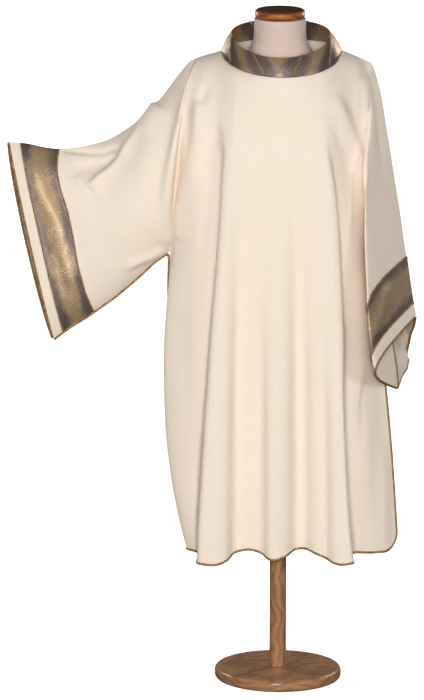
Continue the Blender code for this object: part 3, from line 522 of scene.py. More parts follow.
class Panel:
    """The front (side -1) or the back (side 1) of the vestment, as a fine sheet over its ribs."""

    def __init__(self, side, folds, edges, creases):
        cloth = setting("dalmatic_cloth")
        self.side = side
        self.ribs = self.make_ribs(folds, edges)
        self.left = len(LEFT_SLEEVE) - 1
        self.right = len(self.ribs) - len(RIGHT_SLEEVE)
        controls = np.array([rib.controls for rib in self.ribs])
        middles = controls[:, 1:].mean(axis=1)
        self.gaps = np.linalg.norm(np.diff(middles, axis=0), axis=1)
        self.body = self.ribs[self.left:self.right + 1]
        body_gaps = self.gaps[self.left:self.right]
        hems = np.array([rib.hem for rib in self.body])
        self.tracks = [Track(controls[:, i], self.gaps) for i in range(4)]
        self.hem = Track(hems, body_gaps)
        self.bow = Track([[rib.bow] for rib in self.body], body_gaps)
        self.edge_gaps = (body_gaps[0], body_gaps[-1])

        ends = controls[:, (0, 3)]
        self.widths = np.linalg.norm(np.diff(ends, axis=0), axis=2).max(axis=1)
        hem_widths = np.linalg.norm(np.diff(hems, axis=0), axis=1)
        self.widths[self.left:self.right] = np.maximum(body_gaps, hem_widths)
        self.columns = self.make_columns(cloth.step)
        self.first = int(np.argmin(np.abs(self.columns - self.left)))
        self.last = int(np.argmin(np.abs(self.columns - self.right)))
        tall = np.linalg.norm(np.array(LEFT_SLEEVE[0].top) - np.array(LEFT_SLEEVE[0].under))
        self.rows = round(tall / cloth.step)
        self.skirt_rows = round((ARM_LEVEL - hems[:, 2].min()) / cloth.skirt_step)
        self.make_sheet(creases)

    def make_ribs(self, folds, edges):
        """All ribs, from the left cuff to the right one."""
        side = self.side
        left = [Rib(None, section_controls(s, side, LEFT_BEND), None, 0.0) for s in LEFT_SLEEVE[:-1]]
        right = [Rib(None, section_controls(s, side, RIGHT_BEND), None, 0.0) for s in RIGHT_SLEEVE[:-1]]
        armholes = [Rib(edge.seam, section_controls(sleeve[-1], side, ARMHOLE_BEND), edge.hem, edge.bow)
                    for edge, sleeve in zip(edges, (LEFT_SLEEVE, RIGHT_SLEEVE))]
        body = [Rib(f.seam, fold_controls(f, side), f.hem, f.bow) for f in folds]
        return left + [armholes[0]] + body + [armholes[1]] + right[::-1]

    def make_columns(self, step):
        """Rib numbers of the sheet's columns, about a step apart."""
        places = []
        for rib, width in enumerate(self.widths):
            count = max(2, round(width / step))
            places += [rib + i / count for i in range(count)]
        return np.array(places + [float(len(self.widths))])

    def top(self, place):
        """Tops of the ribs: straight on the seam or the neckline over the body."""
        points = self.tracks[0].at(place)
        body = (place >= self.left) & (place <= self.right)
        seams = [rib.seam for rib in self.body]
        seam = np.interp(place[body] - self.left, range(len(seams)), seams)
        points[body] = seam_points(seam, self.side)
        return points

    def eased_top(self, place, height):
        """The top line, its corners at the neckline rounded off more and more further down."""
        outside = np.maximum(self.left - place, place - self.right)
        reach = TOP_EASE * np.clip(height * EASE_GROWTH, 0.0, 1.0) * np.clip(1 - outside, 0.0, 1.0)
        return sum(self.top(place + reach * shift) for shift in EASE_SHIFTS) / len(EASE_SHIFTS)

    def upper(self, place, height):
        """Points between the top seam (0) and the underside seam or arm level (1)."""
        top = self.eased_top(place, height)
        height = height[:, None]
        rest = 1 - height
        point = (top * rest ** 3 + self.tracks[1].at(place) * 3 * height * rest ** 2
                 + self.tracks[2].at(place) * 3 * height ** 2 * rest + self.tracks[3].at(place) * height ** 3)
        point[:, 1] += self.side * SEAM * np.abs(2 * height[:, 0] - 1) ** SEAM_GRIP
        return point

    def lower(self, place, height):
        """Points between the arm level (0) and the hem (1)."""
        place, height = self.round_corners(place, height)
        arm = self.upper(place, np.ones(len(place)))
        local = place - self.left
        hem = self.hem.at(local)
        bow = self.bow.at(local)[:, 0]
        point = arm + (hem - arm) * height[:, None]
        point[:, 0] += bow * 4 * height * (1 - height)
        point[:, 1] = arm[:, 1] + (hem[:, 1] - arm[:, 1]) * height ** FALL
        return point

    def round_corners(self, place, height):
        """Moves places near a lower corner onto the corner's arc."""
        place, height = place.copy(), height.copy()
        tall = CORNER / (ARM_LEVEL - self.body[0].hem[2])
        for edge, sign, gap in ((self.left, 1, self.edge_gaps[0]), (self.right, -1, self.edge_gaps[1])):
            wide = CORNER / gap
            across = 1 - (place - edge) * sign / wide
            down = 1 - (1 - height) / tall
            near = (across > 0) & (down > 0)
            shrink = np.maximum(across, down)[near] / np.hypot(across, down)[near]
            place[near] = edge + sign * wide * (1 - across[near] * shrink)
            height[near] = 1 - tall * (1 - down[near] * shrink)
        return place, height

    def make_sheet(self, creases):
        """All points and faces, with the creases, and the same points as two grids."""
        body = self.columns[self.first:self.last + 1]
        wide, narrow = len(self.columns), len(body)
        places, heights = np.meshgrid(self.columns, np.linspace(0, 1, self.rows + 1))
        upper = self.upper(places.ravel(), heights.ravel())
        places, heights = np.meshgrid(body, np.linspace(0, 1, self.skirt_rows + 1)[1:])
        lower = self.lower(places.ravel(), heights.ravel())
        points = np.vstack([upper, lower])

        numbers = grid_numbers(self.rows + 1, wide)
        below = len(upper) + grid_numbers(self.skirt_rows, narrow)
        skirt = np.vstack([numbers[-1:, self.first:self.last + 1], below])
        self.faces = grid_faces(numbers, self.side < 0) + grid_faces(skirt, self.side < 0)
        self.flat = self.flat_places(points, numbers, skirt)

        cloth = setting("dalmatic_cloth")
        points = swell(points, normals_of(points, self.faces), cloth.softness)
        points = crease(points, normals_of(points, self.faces), creases, cloth.crease)
        self.points = points
        self.normals = normals_of(points, self.faces)
        self.sleeve_grid = numbers
        self.skirt_grid = skirt

    def flat_places(self, points, numbers, skirt):
        """Where each point lies on the flat cut, in metres: across, and down from the top seam."""
        flat = np.zeros((len(points), 2))
        lines = points[numbers]
        across = np.linalg.norm(np.diff(lines, axis=1), axis=2).mean(axis=0)
        flat[numbers, 0] = np.concatenate([[0.0], across.cumsum()])
        flat[numbers[1:], 1] = np.linalg.norm(np.diff(lines, axis=0), axis=2).cumsum(axis=0)
        down = np.linalg.norm(np.diff(points[skirt], axis=0), axis=2).cumsum(axis=0)
        flat[skirt[1:], 0] = flat[skirt[0], 0]
        flat[skirt[1:], 1] = flat[skirt[0], 1] + down
        return flat

    def column(self, number):
        """Point numbers of one column of a sleeve, from the top seam down."""
        return self.sleeve_grid[:, number]

    def column_of(self, section, left):
        """The column that lies on a sleeve's section."""
        place = section if left else len(self.widths) - section
        return int(np.argmin(np.abs(self.columns - place)))


def grid_numbers(rows, columns):
    """Point numbers of a grid, row by row."""
    return np.arange(rows * columns).reshape(rows, columns)


def grid_faces(numbers, forwards, wrap=False):
    """Faces between the rows and columns of a grid of point numbers."""
    if wrap:
        numbers = np.hstack([numbers, numbers[:, :1]])
    corners = np.stack([numbers[:-1, :-1], numbers[1:, :-1], numbers[1:, 1:], numbers[:-1, 1:]], axis=-1)
    corners = corners.reshape(-1, 4)
    return [tuple(face) for face in (corners if forwards else corners[:, ::-1]).tolist()]


def normals_of(points, faces):
    """The direction in which the sheet faces at each point."""
    corners = points[np.array(faces)]
    turned = np.cross(corners[:, 2] - corners[:, 0], corners[:, 3] - corners[:, 1])
    total = np.zeros_like(points)
    for i in range(4):
        np.add.at(total, [face[i] for face in faces], turned)
    sizes = np.linalg.norm(total, axis=1, keepdims=True)
    return total / np.maximum(sizes, 1e-12)


# swells to the metre sideways, in depth and downwards
SLOW_SWELL = Vector((9.0, 9.0, 3.5))
QUICK_SWELL = Vector((24.0, 24.0, 9.0))
SWELL_START = Vector((0.0, 3.0, 0.0))
QUICK_SHARE = 0.4        # height of the quick swells, as a share of the slow ones


def swell(points, normals, height):
    """A slow uneven swell, longer down the cloth than across it."""
    waves = [noise.noise(Vector(point) * SLOW_SWELL + SWELL_START)
             + QUICK_SHARE * noise.noise(Vector(point) * QUICK_SWELL) for point in points]
    return points + normals * (np.array(waves) * height)[:, None]


CREASE_REACH = 3         # a crease is worked out this many times its own reach to each side


def along_line(line, places):
    """For each place its distance from a line, whether it lies to the right, and how far along it is."""
    nearest, along = np.full(len(places), np.inf), np.zeros(len(places))
    on_right = np.zeros(len(places), bool)
    walked = walked_along(line)
    for i, (start, end) in enumerate(zip(line, line[1:])):
        step = end - start
        part = np.clip(((places - start) @ step) / (step @ step), 0.0, 1.0)
        away = places - start - part[:, None] * step
        distance = np.hypot(away[:, 0], away[:, 1])
        closer = distance < nearest
        here = walked[i] + part * (walked[i + 1] - walked[i])
        nearest = np.where(closer, distance, nearest)
        on_right = np.where(closer, step[0] * away[:, 1] > step[1] * away[:, 0], on_right)
        along = np.where(closer, here / walked[-1], along)
    return nearest, on_right, along


def crease(points, normals, creases, strength):
    """Raises or sinks the sheet along each crease, as seen from the front."""
    shift = np.zeros(len(points))
    seen = points[:, [0, 2]]
    for row in creases:
        line = smooth_line(row.line)
        reach = CREASE_REACH * max(row.left, row.right)
        near = np.all((seen > line.min(axis=0) - reach) & (seen < line.max(axis=0) + reach), axis=1)
        distance, on_right, along = along_line(line, seen[near])
        begun = np.clip(along / row.start, 0.0, 1.0)
        left = np.clip((1 - along) / row.end, 0.0, 1.0) if row.end else 1.0
        share = np.minimum(begun, left)
        height = row.height * share ** 2 * (3 - 2 * share)
        shift[near] += height * np.exp(-(distance / np.where(on_right, row.right, row.left)) ** 2)
    return points + normals * (shift * strength)[:, None]


def front_panel():
    """The front panel's sheet."""
    return Panel(-1, FRONT_FOLDS, FRONT_EDGES, FRONT_CREASES)


def back_panel():
    """The back panel's sheet."""
    return Panel(1, BACK_FOLDS, BACK_EDGES, BACK_CREASES)


# ---- meshes -----------------------------------------------------------------------------------------
def mesh_piece(name, points, faces, flat, material):
    """A shaded mesh with its UV map in metres; flat has one place for each point."""
    mesh = bpy.data.meshes.new(name)
    mesh.from_pydata(np.asarray(points).tolist(), [], faces)
    layer = mesh.uv_layers.new(name="UVMap")
    corners = np.zeros(len(mesh.loops), np.int32)
    mesh.loops.foreach_get("vertex_index", corners)
    layer.data.foreach_set("uv", np.asarray(flat, np.float32)[corners].ravel())
    mesh.materials.append(material)
    mesh.shade_smooth()
    piece = bpy.data.objects.new(name, mesh)
    bpy.context.scene.collection.objects.link(piece)
    return piece


SHEET_CORNER = math.radians(60)      # a sheet's edges stay sharp where they turn by more than this


def give_wall(piece, thick):
    """Gives a sheet its thickness, half of it on each side."""
    wall = piece.modifiers.new("wall", "SOLIDIFY")
    wall.thickness = thick
    wall.offset = 0.0
    bpy.ops.object.select_all(action="DESELECT")
    piece.select_set(True)
    bpy.context.view_layer.objects.active = piece
    bpy.ops.object.modifier_apply(modifier=wall.name)
    piece.data.set_sharp_from_angle(angle=SHEET_CORNER)


def finish_piece(piece, slot, *nodes):
    """The piece rides on the form and stands for its nodes."""
    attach(piece, "root")
    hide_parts(*nodes)


CORD_SIDES = 8
CORD_TURN_STEPS = 6      # rings of points in one turn of the twist
CORD_GROOVE = 0.20       # depth of the grooves between strands, as a share of the radius


def frames_along(line, closed):
    """Two directions square to a line at each point, and how far they slip in one round of it."""
    if closed:
        ahead = unit(np.roll(line, -1, axis=0) - np.roll(line, 1, axis=0))
    else:
        ahead = unit(np.gradient(line, axis=0))
    sides = [Vector(ahead[0]).orthogonal().normalized()]
    for before, after in zip(ahead, ahead[1:]):
        turn = Vector(before).rotation_difference(Vector(after))
        side = turn @ sides[-1]
        sides.append((side - Vector(after) * side.dot(Vector(after))).normalized())
    last = np.array(Vector(ahead[-1]).rotation_difference(Vector(ahead[0])) @ sides[-1])
    sides = np.array(sides)
    others = np.cross(ahead, sides)
    return sides, others, math.atan2(last @ others[0], last @ sides[0])


def cord_piece(name, line, radius, material, closed=False):
    """Twisted piping along a line: two strands, whose groove turns round the cord."""
    pitch = setting("dalmatic_trim").pitch
    line = even_line(line, pitch / CORD_TURN_STEPS, closed)
    sides, others, slip = frames_along(line, closed)
    count = len(line)
    ring = np.arange(count)
    if closed:
        turns = round(count / CORD_TURN_STEPS)
        twist = ring / count * (2 * math.pi * turns)
        spin = -slip * ring / count
    else:
        twist = ring / CORD_TURN_STEPS * 2 * math.pi
        spin = np.zeros(count)
    angle = np.linspace(0, 2 * math.pi, CORD_SIDES, endpoint=False)
    phase = angle[None, :] - twist[:, None]
    size = radius * (1 - CORD_GROOVE * (0.5 - 0.5 * np.cos(2 * phase)))
    around = angle[None, :] + spin[:, None]
    points = (line[:, None, :] + (size * np.cos(around))[..., None] * sides[:, None, :]
              + (size * np.sin(around))[..., None] * others[:, None, :])
    strand = 0.5 + 0.5 * np.cos(phase)

    numbers = grid_numbers(count, CORD_SIDES)
    if closed:
        faces = grid_faces(np.vstack([numbers, numbers[:1]]), False, wrap=True)
    else:
        faces = grid_faces(numbers, False, wrap=True)
        faces += [tuple(numbers[0].tolist()), tuple(numbers[-1, ::-1].tolist())]
    round_share, walked = np.broadcast_arrays(angle / (2 * math.pi), ring[:, None] * pitch / CORD_TURN_STEPS)
    flat = np.stack([round_share, walked], axis=-1)
    piece = mesh_piece(name, points.reshape(-1, 3), faces, flat.reshape(-1, 2), material)
    share = piece.data.attributes.new("strand", "FLOAT", "POINT")
    share.data.foreach_set("value", strand.ravel().astype(np.float32))
    return piece


# ---- node groups and materials ----------------------------------------------------------------------
class Nodes:
    """Short ways of adding nodes to a material or a group."""

    def __init__(self, tree):
        self.tree = tree

    def add(self, kind, links=(), **values):
        """A node, with what goes into its sockets and its own settings."""
        node = self.tree.nodes.new(kind)
        for key, value in values.items():
            setattr(node, key, value)
        for place, value in dict(links).items():
            self.feed(node.inputs[place], value)
        return node

    def feed(self, socket, value):
        """Links a socket to another one, or gives it a plain value."""
        if isinstance(value, bpy.types.NodeSocket):
            self.tree.links.new(value, socket)
        else:
            socket.default_value = value

    def maths(self, operation, first, second=0.0, third=0.0):
        """One step of arithmetic."""
        node = self.add("ShaderNodeMath", {0: first, 1: second, 2: third}, operation=operation)
        return node.outputs[0]

    def scaled(self, vector, scale):
        """A place, scaled along each axis."""
        return self.add("ShaderNodeVectorMath", {0: vector, 1: scale}, operation="MULTIPLY").outputs[0]

    def noise(self, vector, scale, detail=2.0, roughness=0.5):
        """Soft random patches, from 0 to 1."""
        node = self.add("ShaderNodeTexNoise", {"Vector": vector, "Scale": scale, "Detail": detail,
                                               "Roughness": roughness})
        return node.outputs["Fac"]

    def spread(self, value, low, high, start=0.0, end=1.0):
        """Runs softly from start to end while the value goes from low to high."""
        node = self.add("ShaderNodeMapRange", {"Value": value, "From Min": low, "From Max": high,
                                               "To Min": start, "To Max": end},
                        interpolation_type="SMOOTHSTEP")
        return node.outputs["Result"]

    def mix(self, share, first, second):
        """Two colours mixed; a share of 1 gives the second."""
        node = self.add("ShaderNodeMix", data_type="RGBA")
        self.feed(node.inputs["Factor"], share)
        self.feed(node.inputs[6], first)
        self.feed(node.inputs[7], second)
        return node.outputs[2]

    def group(self, name, **values):
        """A node group, made when it is first asked for."""
        tree = bpy.data.node_groups.get(name) or GROUPS[name]()
        node = self.add("ShaderNodeGroup", node_tree=tree)
        for key, value in values.items():
            self.feed(node.inputs[key.replace("_", " ")], value)
        return node


def new_group(name, inputs, outputs):
    """An empty node group, with its input and output nodes; one row for each socket."""
    tree = bpy.data.node_groups.new(name, "ShaderNodeTree")
    for label, kind, default in inputs:
        socket = tree.interface.new_socket(name=label, in_out="INPUT", socket_type=kind)
        if default is not None:
            socket.default_value = default
    for label, kind in outputs:
        tree.interface.new_socket(name=label, in_out="OUTPUT", socket_type=kind)
    nodes = Nodes(tree)
    return nodes, nodes.add("NodeGroupInput"), nodes.add("NodeGroupOutput")


def weave_group():
    """Plain weave: threads over and under each other, with slubs and an uneven colour."""
    nodes, given, made = new_group(
        "Plain weave",
        [("Place", "NodeSocketVector", None), ("Threads", "NodeSocketFloat", 900.0),
         ("Slub length", "NodeSocketFloat", 9.0), ("Slub share", "NodeSocketFloat", 0.5)],
        [("Height", "NodeSocketFloat"), ("Slubs", "NodeSocketFloat"), ("Patches", "NodeSocketFloat")])
    place, threads = given.outputs["Place"], given.outputs["Threads"]
    split = nodes.add("ShaderNodeSeparateXYZ", {0: place})
    turns = nodes.maths("MULTIPLY", threads, 2 * math.pi)
    across = nodes.maths("SINE", nodes.maths("MULTIPLY", split.outputs["X"], turns))
    down = nodes.maths("SINE", nodes.maths("MULTIPLY", split.outputs["Y"], turns))
    over = nodes.maths("MULTIPLY", across, down)
    thread_scale = nodes.maths("MULTIPLY", threads, 0.5)
    slub_scale = nodes.maths("DIVIDE", thread_scale, given.outputs["Slub length"])
    slubs = []
    for axes in ((thread_scale, slub_scale), (slub_scale, thread_scale)):
        stretch = nodes.add("ShaderNodeCombineXYZ", {"X": axes[0], "Y": axes[1], "Z": 1.0}).outputs[0]
        slubs.append(nodes.noise(nodes.scaled(place, stretch), 1.0, 1.0))
    both = nodes.maths("MAXIMUM", slubs[0], slubs[1])
    thick = nodes.spread(both, 0.52, 0.78)
    lifted = nodes.maths("MULTIPLY", thick, given.outputs["Slub share"])
    nodes.feed(made.inputs["Height"], nodes.maths("ADD", nodes.maths("MULTIPLY", over, 0.5), lifted))
    nodes.feed(made.inputs["Slubs"], thick)
    nodes.feed(made.inputs["Patches"], nodes.noise(place, 14.0, 3.0))
    return nodes.tree


def grain_group():
    """Wood grain along Z: long streaks and fine pores."""
    nodes, given, made = new_group(
        "Wood grain",
        [("Place", "NodeSocketVector", None), ("Streaks", "NodeSocketFloat", 60.0),
         ("Pores", "NodeSocketFloat", 900.0)],
        [("Grain", "NodeSocketFloat"), ("Height", "NodeSocketFloat")])
    place, fine = given.outputs["Place"], given.outputs["Pores"]
    bend = nodes.noise(place, 9.0, 2.0)
    split = nodes.add("ShaderNodeSeparateXYZ", {0: place})
    streak = nodes.maths("ADD", nodes.maths("MULTIPLY", split.outputs["X"], given.outputs["Streaks"]),
                         nodes.maths("MULTIPLY", bend, 5.0))
    rings = nodes.maths("SINE", nodes.maths("MULTIPLY", streak, 2 * math.pi))
    stretch = nodes.add("ShaderNodeCombineXYZ", {"X": fine, "Y": fine, "Z": 40.0}).outputs[0]
    pores = nodes.noise(nodes.scaled(place, stretch), 1.0, 2.0)
    soft = nodes.maths("MULTIPLY", nodes.noise(place, 30.0, 3.0), 0.5)
    hard = nodes.maths("ADD", nodes.maths("MULTIPLY", rings, 0.22), nodes.maths("MULTIPLY", pores, 0.5))
    nodes.feed(made.inputs["Grain"], nodes.spread(nodes.maths("ADD", hard, soft), 0.2, 0.85))
    nodes.feed(made.inputs["Height"], pores)
    return nodes.tree


GROUPS = {"Plain weave": weave_group, "Wood grain": grain_group}


def bump(nodes, shader, height, strength, distance):
    """Lets a height shape the surface."""
    node = nodes.add("ShaderNodeBump", {"Height": height, "Strength": strength, "Distance": distance})
    nodes.feed(shader.inputs["Normal"], node.outputs["Normal"])


def uv_place(nodes):
    """Places on the flat cut of a sheet or along a cord."""
    return nodes.add("ShaderNodeUVMap", uv_map="UVMap").outputs["UV"]


def object_place(nodes):
    """Places in the frame."""
    return nodes.add("ShaderNodeTexCoord").outputs["Object"]


def opaque(tone, shade=1.0):
    """A colour for a socket, darker or lighter than the given one."""
    return (*(shade * part for part in tone), 1.0)


def cream_look(nodes, shader):
    """Fine cream wool: plain weave, a little uneven, with a soft sheen."""
    cloth = setting("dalmatic_cloth")
    weave = nodes.group("Plain weave", Place=uv_place(nodes), Threads=0.5 / cloth.thread,
                        Slub_length=5.0, Slub_share=0.5)
    slubs, slub = weave.outputs["Slubs"], opaque(cloth.slub)
    base = nodes.mix(nodes.maths("MULTIPLY", slubs, 0.26), opaque(cloth.cream), slub)
    patches = nodes.spread(weave.outputs["Patches"], 0.3, 0.7, 0.0, 0.10)
    nodes.feed(shader.inputs["Base Color"], nodes.mix(patches, base, slub))
    nodes.feed(shader.inputs["Roughness"], nodes.spread(slubs, 0.0, 1.0, 0.86, 0.74))
    shader.inputs["Sheen Weight"].default_value = 0.12
    shader.inputs["Sheen Roughness"].default_value = 0.45
    shader.inputs["Specular IOR Level"].default_value = 0.25
    bump(nodes, shader, weave.outputs["Height"], 0.35, 0.0004)


def lame_look(nodes, shader, shade, shine):
    """Ribbed metallic cloth: gold in the middle, with a striped purple-grey border.

    shade: how light the whole is; above 1 the lame is painted lighter, which stands in for light. The last
    value sets how strongly the flecks of the middle get a painted highlight, a light colour that stands in
    for their glinting.
    """
    trim = setting("dalmatic_trim")
    border = trim.border
    place = uv_place(nodes)
    split = nodes.add("ShaderNodeSeparateXYZ", {0: place})
    inward, along = split.outputs["X"], split.outputs["Y"]

    wide = 0.080             # how far the edge of the gold wanders
    wander = nodes.maths("MULTIPLY", nodes.noise(nodes.scaled(place, (16.0, 9.0, 1.0)), 1.0, 3.0, 0.6), wide)
    depth = nodes.maths("ADD", inward, nodes.maths("SUBTRACT", wander, wide / 2))
    middle = nodes.spread(depth, border * 0.25, border * 1.20)
    # shade scales the colours: the sleeve bands use 1, and the neckband's copy of this lame uses 1.2, painted
    # lighter to stand in for light on the neckband
    ground = nodes.mix(middle, opaque(trim.lame_grey, shade ** 1.6), opaque(trim.lame_gold, shade))

    lines = nodes.maths("SINE", nodes.maths("MULTIPLY", inward, 2 * math.pi / (trim.rib * 1.5)))
    edge = nodes.spread(inward, border * 0.55, border * 1.1, 1.0, 0.0)
    stripes = nodes.maths("MULTIPLY", nodes.spread(lines, -0.3, 0.8), edge)
    striped = nodes.mix(nodes.maths("MULTIPLY", stripes, 0.85), ground, opaque(trim.stripe))

    ribs = nodes.maths("SINE", nodes.maths("MULTIPLY", along, 2 * math.pi / trim.rib))
    ribbed = nodes.mix(nodes.spread(ribs, -1.0, 1.0, 0.0, 0.28), striped, opaque(trim.thread))

    sparkle = nodes.noise(nodes.scaled(place, (360.0, 290.0, 1.0)), 1.0, 2.0, 0.7)
    patches = nodes.noise(nodes.scaled(place, (45.0, 22.0, 1.0)), 1.0, 2.0)
    clusters = nodes.spread(patches, 0.35, 0.62, 0.25, 1.0)
    # painted highlight: the flecks, thickest in clusters, pull the base colour towards a light highlight
    # colour, most in the gold middle; this stands in for glinting in the light. The same flecks also raise
    # Metallic.
    flecks_and_painted_highlight = nodes.maths("MULTIPLY", nodes.spread(sparkle, 0.50, 0.64), clusters)
    bright = nodes.maths("MULTIPLY", flecks_and_painted_highlight, nodes.spread(middle, 0.0, 1.0, 0.22 * shine, shine))
    nodes.feed(shader.inputs["Base Color"], nodes.mix(bright, ribbed, opaque(trim.painted_highlight)))
    nodes.feed(shader.inputs["Metallic"], nodes.spread(flecks_and_painted_highlight, 0.0, 1.0, 0.55 * shade, 0.90))
    nodes.feed(shader.inputs["Roughness"], nodes.spread(sparkle, 0.3, 0.7, 0.52, 0.34))
    shader.inputs["Specular IOR Level"].default_value = 0.5 * shade
    relief = nodes.maths("ADD", nodes.maths("MULTIPLY", ribs, 0.4),
                         nodes.maths("ADD", nodes.maths("MULTIPLY", lines, 0.15), sparkle))
    bump(nodes, shader, relief, 0.5, 0.0006)


def piping_look(nodes, shader, dark):
    """Twisted piping: a gold strand and a dark brown one, each wound of fine thread.

    dark: the higher, the more of each turn the brown strand takes up.
    """
    trim = setting("dalmatic_trim")
    strand = nodes.add("ShaderNodeAttribute", attribute_name="strand").outputs["Fac"]
    place = uv_place(nodes)
    split = nodes.add("ShaderNodeSeparateXYZ", {0: place})
    wound = nodes.maths("ADD", nodes.maths("MULTIPLY", split.outputs["X"], 2 * math.pi * 3),
                        nodes.maths("MULTIPLY", split.outputs["Y"], 2 * math.pi / 0.0014))
    fibre = nodes.maths("SINE", wound)
    # the gold strand takes up less of each turn in random patches along the cord, and its gold is duller in
    # smaller random patches
    gold_patches = nodes.noise(nodes.scaled(place, (0.6, 55.0, 1.0)), 1.0, 2.0)
    light = nodes.maths("MULTIPLY", nodes.spread(strand, dark, dark + 0.32),
                        nodes.spread(gold_patches, 0.38, 0.62, 0.40, 1.0))
    uneven = nodes.noise(nodes.scaled(place, (3.0, 260.0, 1.0)), 1.0, 2.0)
    gold = nodes.mix(nodes.spread(uneven, 0.35, 0.65, 0.0, 0.5), opaque(trim.gold), opaque(trim.dull_gold))
    fine = nodes.mix(nodes.spread(fibre, -1.0, 1.0, 0.0, 0.35), gold, opaque(trim.fine_gold))
    nodes.feed(shader.inputs["Base Color"], nodes.mix(light, opaque(trim.brown), fine))
    nodes.feed(shader.inputs["Metallic"], nodes.maths("MULTIPLY", light, 0.6))
    nodes.feed(shader.inputs["Roughness"], nodes.spread(light, 0.0, 1.0, 0.7, 0.36))
    bump(nodes, shader, fibre, 0.4, 0.0003)


def linen_look(nodes, shader):
    """Linen of the torso: a coarser plain weave, matt."""
    form = setting("dalmatic_form")
    split = nodes.add("ShaderNodeSeparateXYZ", {0: object_place(nodes)})
    sideways = nodes.maths("ADD", split.outputs["X"], split.outputs["Y"])
    flat = nodes.add("ShaderNodeCombineXYZ", {"X": sideways, "Y": split.outputs["Z"], "Z": 0.0}).outputs[0]
    weave = nodes.group("Plain weave", Place=flat, Threads=520.0, Slub_length=3.0, Slub_share=0.4)
    slubs, dark = weave.outputs["Slubs"], opaque(form.linen, 0.78)
    base = nodes.mix(nodes.maths("MULTIPLY", slubs, 0.3), opaque(form.linen), dark)
    patches = nodes.spread(weave.outputs["Patches"], 0.3, 0.7, 0.0, 0.2)
    nodes.feed(shader.inputs["Base Color"], nodes.mix(patches, base, dark))
    nodes.feed(shader.inputs["Roughness"], nodes.spread(slubs, 0.0, 1.0, 0.92, 0.8))
    bump(nodes, shader, weave.outputs["Height"], 0.3, 0.0005)


UPRIGHT = (0.0, 0.0, 0.0)                   # wood grain along Z
SIDEWAYS = (0.0, math.radians(90), 0.0)     # wood grain along X


def wood(nodes, shader, light, dark, turn):
    """The relief of wood; its grain and its colour are handed back."""
    turned = nodes.add("ShaderNodeMapping", {"Vector": object_place(nodes), "Rotation": turn}).outputs[0]
    grain = nodes.group("Wood grain", Place=turned, Streaks=55.0, Pores=800.0)
    shader.inputs["Coat Roughness"].default_value = 0.12
    bump(nodes, shader, grain.outputs["Height"], 0.15, 0.0004)
    return grain.outputs["Grain"], nodes.mix(grain.outputs["Grain"], opaque(light), opaque(dark))


def stand_look(nodes, shader, turn):
    """Varnished wood of the pole and the base."""
    form = setting("dalmatic_form")
    grain, tone = wood(nodes, shader, form.wood, form.wood_dark, turn)
    nodes.feed(shader.inputs["Base Color"], tone)
    nodes.feed(shader.inputs["Roughness"], nodes.spread(grain, 0.0, 1.0, 0.42, 0.54))
    shader.inputs["Coat Weight"].default_value = 0.3


def cap_look(nodes, shader):
    """The neck cap's wood, varnished on its side, matt on its flat top, where a darker brown is painted on as
    shade.
    """
    form = setting("dalmatic_form")
    tone = wood(nodes, shader, form.cap, form.cap_dark, SIDEWAYS)[1]
    split = nodes.add("ShaderNodeSeparateXYZ", {0: object_place(nodes)})
    above = nodes.maths("SUBTRACT", split.outputs["Z"], TORSO[-1].z)
    height = nodes.maths("SUBTRACT", nodes.maths("MULTIPLY", above, math.cos(NECK_TILT)),
                         nodes.maths("MULTIPLY", split.outputs["Y"], math.sin(NECK_TILT)))
    # painted shade: towards the flat top the wood's colour is mixed into the dark top brown, standing in for
    # shade on the top
    top = nodes.spread(height, CAP_THICK * 0.72, CAP_THICK * 0.97)
    darker = nodes.maths("MULTIPLY", top, 0.85)
    nodes.feed(shader.inputs["Base Color"], nodes.mix(darker, tone, opaque(form.cap_top)))
    nodes.feed(shader.inputs["Coat Weight"], nodes.spread(top, 0.0, 0.3, 0.10, 0.0))
    nodes.feed(shader.inputs["Roughness"], nodes.spread(top, 0.0, 0.5, 0.44, 0.62))
    shader.inputs["Specular IOR Level"].default_value = 0.35


def floor_look(nodes, shader):
    """Pale and glowing a little where it is looked at, dim to everything else; from behind it is clear."""
    stage = setting("dalmatic_stage")
    seen = nodes.add("ShaderNodeLightPath").outputs["Is Camera Ray"]
    dim, black = opaque(stage.floor, stage.floor_return), opaque(stage.floor, 0.0)
    nodes.feed(shader.inputs["Base Color"], nodes.mix(seen, dim, opaque(stage.floor)))
    nodes.feed(shader.inputs["Emission Color"], nodes.mix(seen, black, opaque(stage.floor)))
    shader.inputs["Emission Strength"].default_value = stage.glow
    shader.inputs["Roughness"].default_value = 0.9
    shader.inputs["Specular IOR Level"].default_value = 0.1
    behind = nodes.add("ShaderNodeNewGeometry").outputs["Backfacing"]
    clear = nodes.add("ShaderNodeBsdfTransparent").outputs[0]
    both = nodes.add("ShaderNodeMixShader", {0: behind, 1: shader.outputs[0], 2: clear})
    nodes.feed(nodes.tree.nodes["Material Output"].inputs["Surface"], both.outputs[0])


# each material's look and the values that set it apart
LOOKS = {
    "cream wool": (cream_look,),
    "woven lame": (lame_look, 1.0, 0.90),
    # the neckband's lame is the sleeve bands' lame painted 1.2 times lighter, standing in for light on the
    # neckband, with a weaker painted highlight
    "neckband lame": (lame_look, 1.2, 0.70),
    "twisted gold": (piping_look, 0.30),
    "neckband gold": (piping_look, 0.02),
    "torso linen": (linen_look,),
    "varnished cap": (cap_look,),
    "varnished base": (stand_look, SIDEWAYS),
    "varnished pole": (stand_look, UPRIGHT),
    "plain floor": (floor_look,),
}


def material(name):
    """The material of this name, made when it is first asked for."""
    if name in bpy.data.materials:
        return bpy.data.materials[name]
    made = bpy.data.materials.new(name)
    made.use_nodes = True
    look, *values = LOOKS[name]
    look(Nodes(made.node_tree), made.node_tree.nodes["Principled BSDF"], *values)
    return made


